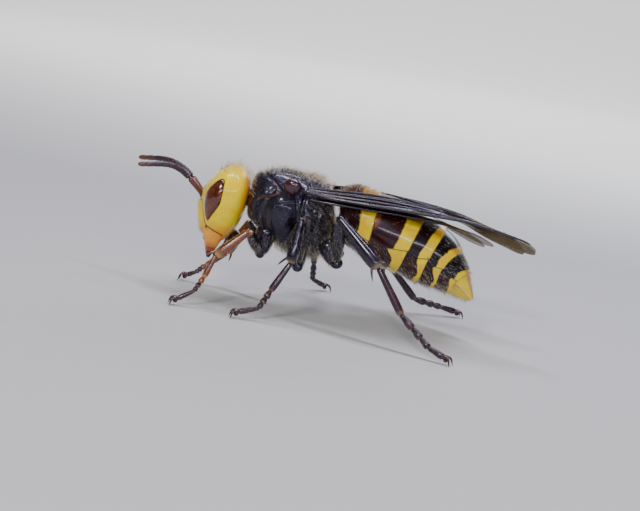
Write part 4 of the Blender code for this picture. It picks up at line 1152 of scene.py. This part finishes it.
# %% Finishes laid on
dress(thorax, "black_cuticle", "pronotum", "mesothorax", "propodeum", material=black)
for piece, node in ((mouthparts, "mouthparts"), (neck, "neck"), (petiole, "petiole")):
    dress(piece, "brown_cuticle", node, material=chestnut)
for number, (side, _) in enumerate(SIDES):
    dress(jaws[number], "orange_cuticle", "mandible_" + side, material=jaw_orange)
    dress(scapes[number], "orange_cuticle", "antenna_scape_" + side, material=tawny)
    dress(flagella[number], "brown_cuticle", "antenna_flagellum_" + side, material=feeler_brown)
    dress(tegulae[number], "orange_cuticle", "tegula_" + side, material=wine)
for leg, (coxa, femur, tibia, joints, claws) in legs.items():
    front = leg.startswith("front")
    dress(coxa, "black_cuticle", "coxa_" + leg, material=leg_black)
    dress(femur, "black_cuticle", "femur_" + leg, material=leg_black)
    dress(tibia, "orange_cuticle" if front else "black_cuticle", "tibia_" + leg,
          material=shin_tan if front else leg_black)
    for number, piece in enumerate(joints):
        piece.data.materials.append(shin_tan if front and number < 2 else foot_brown)
    for piece in claws:
        piece.data.materials.append(claw_horn)
    dress(joined("tarsus_skin_" + leg, joints + claws), "orange_cuticle" if front else "brown_cuticle",
          "tarsus_" + leg)

# %% [markdown]
# ## Bands of the gaster
# Each ring is maroon to black in front with a yellow band at its hind margin, and the
# second ring has an amber band too. The edge of a band is crisp but uneven, so the number
# of millimetres inside the yellow is jittered by fine noise before it picks the colour.
# The bands' tops, under the wings, are painted orange-brown as the wings' amber shade.

# %% Banded cuticle
BAND_FRAY = 0.16
BAND_EDGE = 0.12
banded, tree, shader, drift = cuticle("banded_cuticle", 0.27, pits=0.3, coat=0.4, gloss_tint="#e6e2ff",
                                      specular_ior_level=0.25)
coordinates = add(tree, "ShaderNodeTexCoord").outputs["Object"]
fray = add(tree, "ShaderNodeTexNoise", {"Vector": coordinates, "Scale": 1 / (GRAIN_SIZE * MM), "Detail": 3.0})
shift = add(tree, "ShaderNodeMapRange",
            {"Value": fray.outputs["Fac"], "To Min": -BAND_FRAY, "To Max": BAND_FRAY})
band = add(tree, "ShaderNodeAttribute", attribute_name="band")
inside = add(tree, "ShaderNodeMath", {0: band.outputs["Fac"], 1: shift.outputs["Result"]}, operation="ADD")
# The crest layer turns the bands' tops orange-brown: painted shade from the amber wings above them.
gold = painted(tree, "#ffe200", (drift, DRIFTING, "#f6c800"), ("crest", (0.0, 1.0, 0.7), "#8a3a00"))
# The seam layer here is painted shade under each tergite's edge.
tone = painted(tree, "#3d100e", (drift, DRIFTING, "#2a0b0e"), ("deep", None, "#0e0608"),
               ("amber", (0.25, 0.75), "#7d3c00"), (inside.outputs[0], (-BAND_EDGE, BAND_EDGE), gold),
               ("rim", (0.2, 0.9, 0.8), "#3a1509"), ("seam", (0.3, 0.9, 0.8), "#140706"))
tree.links.new(tone, shader.inputs["Base Color"])
for number, ring in enumerate(rings, 1):
    dress(ring, "banded_cuticle", "gaster_segment_%d" % number, material=banded)

# %% [markdown]
# ## Wing membrane
# The membrane is clear chitin stained smoky brown, nearly opaque and violet-brown near the
# root where several folds lie on each other, and like thin amber glass at the tip. Its
# gloss is strong and smooth along the folds. Alpha lets the light through, and fades with
# the mark that runs from root to tip.

# %% Wing finishes
MOTTLE_SIZE = 1.2
film, tree, shader = start_material(
    "smoky_wing_membrane", roughness=0.14, ior=CUTICLE_IOR, coat_weight=0.12, coat_roughness=0.06,
    specular_ior_level=0.18, specular_tint=colour("#d6d0ff"))
coordinates = add(tree, "ShaderNodeTexCoord").outputs["Object"]
mottle = add(tree, "ShaderNodeTexNoise",
             {"Vector": coordinates, "Scale": 1 / (MOTTLE_SIZE * MM), "Detail": 2.0}).outputs["Fac"]
tone = painted(tree, "#10070c", ("along", (0.55, 0.8), "#6b5a30"), (mottle, (0.35, 0.7, 0.3), "#2e1810"))
tree.links.new(tone, shader.inputs["Base Color"])
along = add(tree, "ShaderNodeAttribute", attribute_name="along")
clear = add(tree, "ShaderNodeMapRange", {"Value": along.outputs["Fac"], "From Min": 0.5, "From Max": 0.85,
                                         "To Min": 0.97, "To Max": 0.5})
tree.links.new(clear.outputs["Result"], shader.inputs["Alpha"])
crinkle = add(tree, "ShaderNodeBump", {"Height": mottle, "Strength": 0.03, "Distance": 0.03 * MM})
tree.links.new(crinkle.outputs["Normal"], shader.inputs["Normal"])
vein_brown = finish("vein_brown_cuticle", 0.28, "#160a0c", "#22100c",
                    drifting=None, pits=0.1, gloss_tint="#e0dcff")
for (wing, side), piece in membranes.items():
    dress(piece, "wing_membrane", wing + "_" + side, material=film)
    dress(vein_nets[wing, side], "wing_membrane", material=vein_brown)

# %% [markdown]
# ## Hairs
# Hornets are bristly: pale hairs stand on crown and back, a golden-grey pile clothes the
# sides, and stiff bristles fringe the gaster. Particle hair wouldn't leave Blender, so each
# hair is a tiny closed cone of three sides, bent along its lie. One cone is made by an
# operator, and its copies are placed with array sums on points drawn from a seeded random
# generator, by area, on the skins above. Each hair keeps its root's place on the skin's
# own unwrap, in a map for baking.

# %% One hair
HAIR_STEPS = 3
HAIR_BEND = 0.35
HAIR_SUNK = 0.05
HAIR_STRAY = 0.22
HAIR_LENGTHS = (0.65, 1.15)
HAIR_PATCH = 0.003
HAIR_TOP = 21.1  # no hair stands higher above the floor than this


def single_hair():
    """A thin cone one unit high, as its points and triangles."""
    bm = bmesh.new()
    bmesh.ops.create_cone(bm, cap_ends=True, segments=3, radius1=1, radius2=0.2, depth=1)
    sides = [edge for edge in bm.edges if abs(edge.verts[0].co.z - edge.verts[1].co.z) > 0.5]
    bmesh.ops.subdivide_edges(bm, edges=sides, cuts=HAIR_STEPS - 1)
    bmesh.ops.triangulate(bm, faces=bm.faces)
    bm.verts.index_update()
    points = np.array([vertex.co for vertex in bm.verts]) + (0, 0, 0.5)
    corners = np.array([[vertex.index for vertex in face.verts] for face in bm.faces])
    bm.free()
    return points, corners


HAIR_POINTS, HAIR_CORNERS = single_hair()


# %% A coat of hairs
def sprout(skin, count, seed, where, length, lie, rise, radius, strip=(0.0, 1.0)):
    """Hairs on one skin: their points in the frame and their places on its unwrap."""
    points, unwrap, leaning, corners = FORMS[skin]
    a, b, c = (points[corners[:, number]] for number in range(3))
    facing = np.cross(b - a, c - a)
    area = np.linalg.norm(facing, axis=1)
    facing = unit(facing)
    weight = area * np.clip(where((a + b + c) / 3, facing), 0, None)
    random = np.random.default_rng(seed)
    chosen = random.choice(len(corners), count, p=weight / weight.sum())
    share = random.dirichlet((1, 1, 1), count)
    root = sum(share[:, number, None] * points[corners[chosen, number]] for number in range(3))
    normal = facing[chosen]
    flow = np.broadcast_to(np.array(lie, float), root.shape)
    flow = unit(flow - normal * (flow * normal).sum(1)[:, None])
    flow = unit(flow + random.normal(0, HAIR_STRAY, root.shape))
    ahead = unit(normal * rise + flow * (1 - rise))
    side = unit(np.cross(ahead, flow + (0.01, 0.02, 0.03)))
    other = np.cross(ahead, side)
    reach = length * random.uniform(*HAIR_LENGTHS, count)
    room = HAIR_TOP - to_frame(root, leaning)[:, 2] / MM
    reach = np.minimum(reach, room / np.maximum(ahead[:, 2] + HAIR_BEND * flow[:, 2], 0.1))
    x, y, z = HAIR_POINTS.T[:, None, :, None]
    upward = (ahead[:, None] * z + flow[:, None] * HAIR_BEND * z * z) * reach[:, None, None]
    around = (side[:, None] * x + other[:, None] * y) * radius
    hairs = root[:, None] - normal[:, None] * HAIR_SUNK + upward + around
    patch = np.stack([HAIR_POINTS[:, 2] * 2 - 1, HAIR_POINTS[:, 0]], 1) * HAIR_PATCH / 2
    places = unwrap[corners[chosen, 0]] * (1, strip[1]) + (0, strip[0])
    return to_frame(hairs.reshape(-1, 3), leaning), (places[:, None] + patch[None]).reshape(-1, 2)


def coat(name, slot, material, *lots):
    """One piece from several lots of hairs; the slot of the cuticle it grows on is not used."""
    points, places = (np.concatenate(parts) for parts in zip(*(sprout(*lot) for lot in lots)))
    count = len(points) // len(HAIR_POINTS)
    faces = (HAIR_CORNERS[None] + (np.arange(count) * len(HAIR_POINTS))[:, None, None]).reshape(-1, 3)
    mesh = bpy.data.meshes.new(name)
    mesh.from_pydata(points, [], faces)
    mesh.uv_layers.new(name="OFBake").data.foreach_set("uv", places[faces.ravel()].astype(np.float32).ravel())
    mesh.shade_smooth()
    piece = bpy.data.objects.new(name, mesh)
    bpy.context.collection.objects.link(piece)
    mesh.materials.append(material)
    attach(piece, "root")
    print(name, count, "hairs,", len(faces), "triangles")


# %% [markdown]
# ## Hair finishes
# A hair is a hollow rod of the same chitin, here without much pigment, so it glints white
# or gold. Three finishes cover the queen: pale bristles, a golden-grey pile and the
# foxy fur at the front of the gaster.

# %% Hair materials
HAIR_LOT_SIZE = 0.5


def hair_finish(name, dull, bright, roughness):
    """Hair of chitin whose colour changes a little from place to place."""
    made, tree, shader = start_material(name, roughness=roughness, ior=CUTICLE_IOR)
    coordinates = add(tree, "ShaderNodeTexCoord").outputs["Object"]
    lots = add(tree, "ShaderNodeTexNoise",
               {"Vector": coordinates, "Scale": 1 / (HAIR_LOT_SIZE * MM), "Detail": 2.0})
    tone = painted(tree, dull, (lots.outputs["Fac"], (0.35, 0.65), bright))
    tree.links.new(tone, shader.inputs["Base Color"])
    return made


bristle = hair_finish("pale_bristle", "#d6c9a8", "#f7f2e4", 0.25)
pile = hair_finish("golden_grey_pile", "#8c8068", "#ddd2b4", 0.3)
fur = hair_finish("foxy_fur", "#5c3a1c", "#a8743a", 0.4)


# %% [markdown]
# ## Where the hairs grow
# Hair grows thick in some places and not at all in others, and fades between them. A zone
# says so with soft limits along X or Z, or by how far the skin looks up. Each lot of hairs
# then has its skin, count, seed, zone, length, lie, how far it stands up, and thickness.

# %% Zones
def zone(*limits, times=None, least=0.0):
    """Where hairs grow, by ramps along X, Z or the skin's upward look."""
    def where(middle, facing):
        seen = {"x": middle[:, 0], "z": middle[:, 2], "up": facing[:, 2]}
        share = np.ones(len(middle))
        for key, low, high in limits:
            share = share * ramp(low, high, seen[key])
        return share * (times(middle) if times else 1) + least
    return where


def clear_of_eyes(middle):
    """0 on the eyes' sockets."""
    return ramp(1.05, 1.15, eye_reach(middle, -1)) * ramp(1.05, 1.15, eye_reach(middle, 1))


def off_pleura(middle):
    """0 on the polished plate of each flank."""
    return ramp(0.85, 1.15, oval(middle[:, 0], middle[:, 2], PLEURON, PLEURON_SIZE + (0.15, 0.2)))


UPPER = zone(("up", -0.2, 0.5))
UNDER = zone(("up", 0.1, -0.5))
ALL_ROUND = zone()

# %% Coats of the head and thorax
coat("head_bristles", "yellow_cuticle", bristle,
     ("head_capsule", 210, 1, zone(("z", 17.9, 19.2), times=clear_of_eyes), 1.1, (0.3, 0, 1), 0.85, 0.028),
     ("head_capsule", 500, 2, zone(("x", -13.6, -15.4), times=clear_of_eyes),
      0.42, (-0.3, 0, -1), 0.6, 0.014),
     ("head_capsule", 500, 3, zone(("z", 12.0, 9.8), times=clear_of_eyes), 0.42, (0.5, 0, -1), 0.5, 0.014),
     ("jaw_left", 90, 4, ALL_ROUND, 0.32, (0, 0, -1), 0.5, 0.013),
     ("jaw_right", 90, 5, ALL_ROUND, 0.32, (0, 0, -1), 0.5, 0.013))
coat("thorax_bristles", "black_cuticle", bristle,
     ("thorax_case", 560, 6, zone(("z", 18.9, 20.0)), 0.9, (0.5, 0, 0.5), 0.85, 0.025),
     ("thorax_case", 260, 7, zone(("z", 18.6, 19.3), ("x", -2.2, -0.6)), 1.1, (0.6, 0, 0.6), 0.75, 0.026),
     ("thorax_case", 180, 31, zone(("x", -8.4, -9.0), ("z", 15.5, 17.5)), 0.8, (-0.4, 0, 0.6), 0.8, 0.022))
coat("thorax_pile", "black_cuticle", pile,
     ("thorax_case", 700, 8, zone(("z", 16.8, 15.2), times=off_pleura, least=0.03),
      0.5, (0.6, 0, -0.8), 0.5, 0.014),
     ("thorax_case", 1300, 9, zone(("x", -2.4, -0.4), ("z", 18.4, 17.0)), 0.65, (0.7, 0, -0.5), 0.5, 0.015),
     ("thorax_case", 1000, 10, zone(("z", 11.5, 9.8)), 0.8, (0.4, 0, -1), 0.65, 0.02))

# %% Coats of the gaster and legs
RING_BRISTLES = ((3, 260, 0.35), (4, 520, 0.42), (5, 560, 0.5), (6, 300, 0.6))
RING_FRINGES = ((1, 250, 0.5), (2, 500, 0.5), (3, 420, 0.6), (4, 380, 0.7), (5, 300, 0.75), (6, 160, 0.75))
fur_zone = zone(("x", 8.0, 5.0), ("up", -0.2, 0.5), least=0.1)
coat("gaster_fur", "banded_cuticle", fur,
     ("gaster_ring_1", 1500, 11, fur_zone, 0.55, (1, 0, 0.1), 0.4, 0.018),
     ("gaster_ring_2", 500, 12, UPPER, 0.4, (1, 0, -0.1), 0.35, 0.015))
coat("gaster_bristles", "banded_cuticle", bristle,
     ("gaster_ring_1", 260, 32, UPPER, 0.8, (0.6, 0, 0.5), 0.75, 0.018),
     ("gaster_ring_2", 160, 33, UPPER, 0.45, (1, 0, 0.2), 0.5, 0.014),
     *[("gaster_ring_%d" % number, count, 12 + number, ALL_ROUND, length, (1, 0, -0.9), 0.5, 0.018)
       for number, count, length in RING_BRISTLES])
coat("gaster_fringe", "banded_cuticle", pile,
     *[("gaster_ring_%d" % number, count, 20 + number, UNDER, length, (1, 0, -0.6), 0.55, 0.02)
       for number, count, length in RING_FRINGES])
leg_hairs, foot_hairs = [], []
for number, leg in enumerate(LEGS):
    strip = (number / len(LEGS), 1 / len(LEGS))
    _, knee, ankle, _, _, toe = np.array(LEGS[leg])
    leg_hairs.append(("coxa_skin_" + leg, 260, 40 + number, ALL_ROUND, 0.5, (0, 0, -1), 0.6, 0.018, strip))
    leg_hairs.append(("femur_" + leg, 160, 50 + number, UNDER, 0.4, (0, 0, -1), 0.6, 0.014, strip))
    foot_hairs.append(("tibia_" + leg, 260, 60 + number, ALL_ROUND, 0.3, ankle - knee, 0.45, 0.014, strip))
    for joint in range(len(TARSAL_ROOTS)):
        count, seed = 90 if joint else 150, 70 + number * 5 + joint
        foot_hairs.append(("joint_%d_%s" % (joint, leg), count, seed, ALL_ROUND, 0.26, toe - ankle,
                           0.45, 0.013, strip))
coat("coxa_pile", "black_cuticle", pile, *leg_hairs)
coat("foot_pile", "black_cuticle", pile, *foot_hairs)
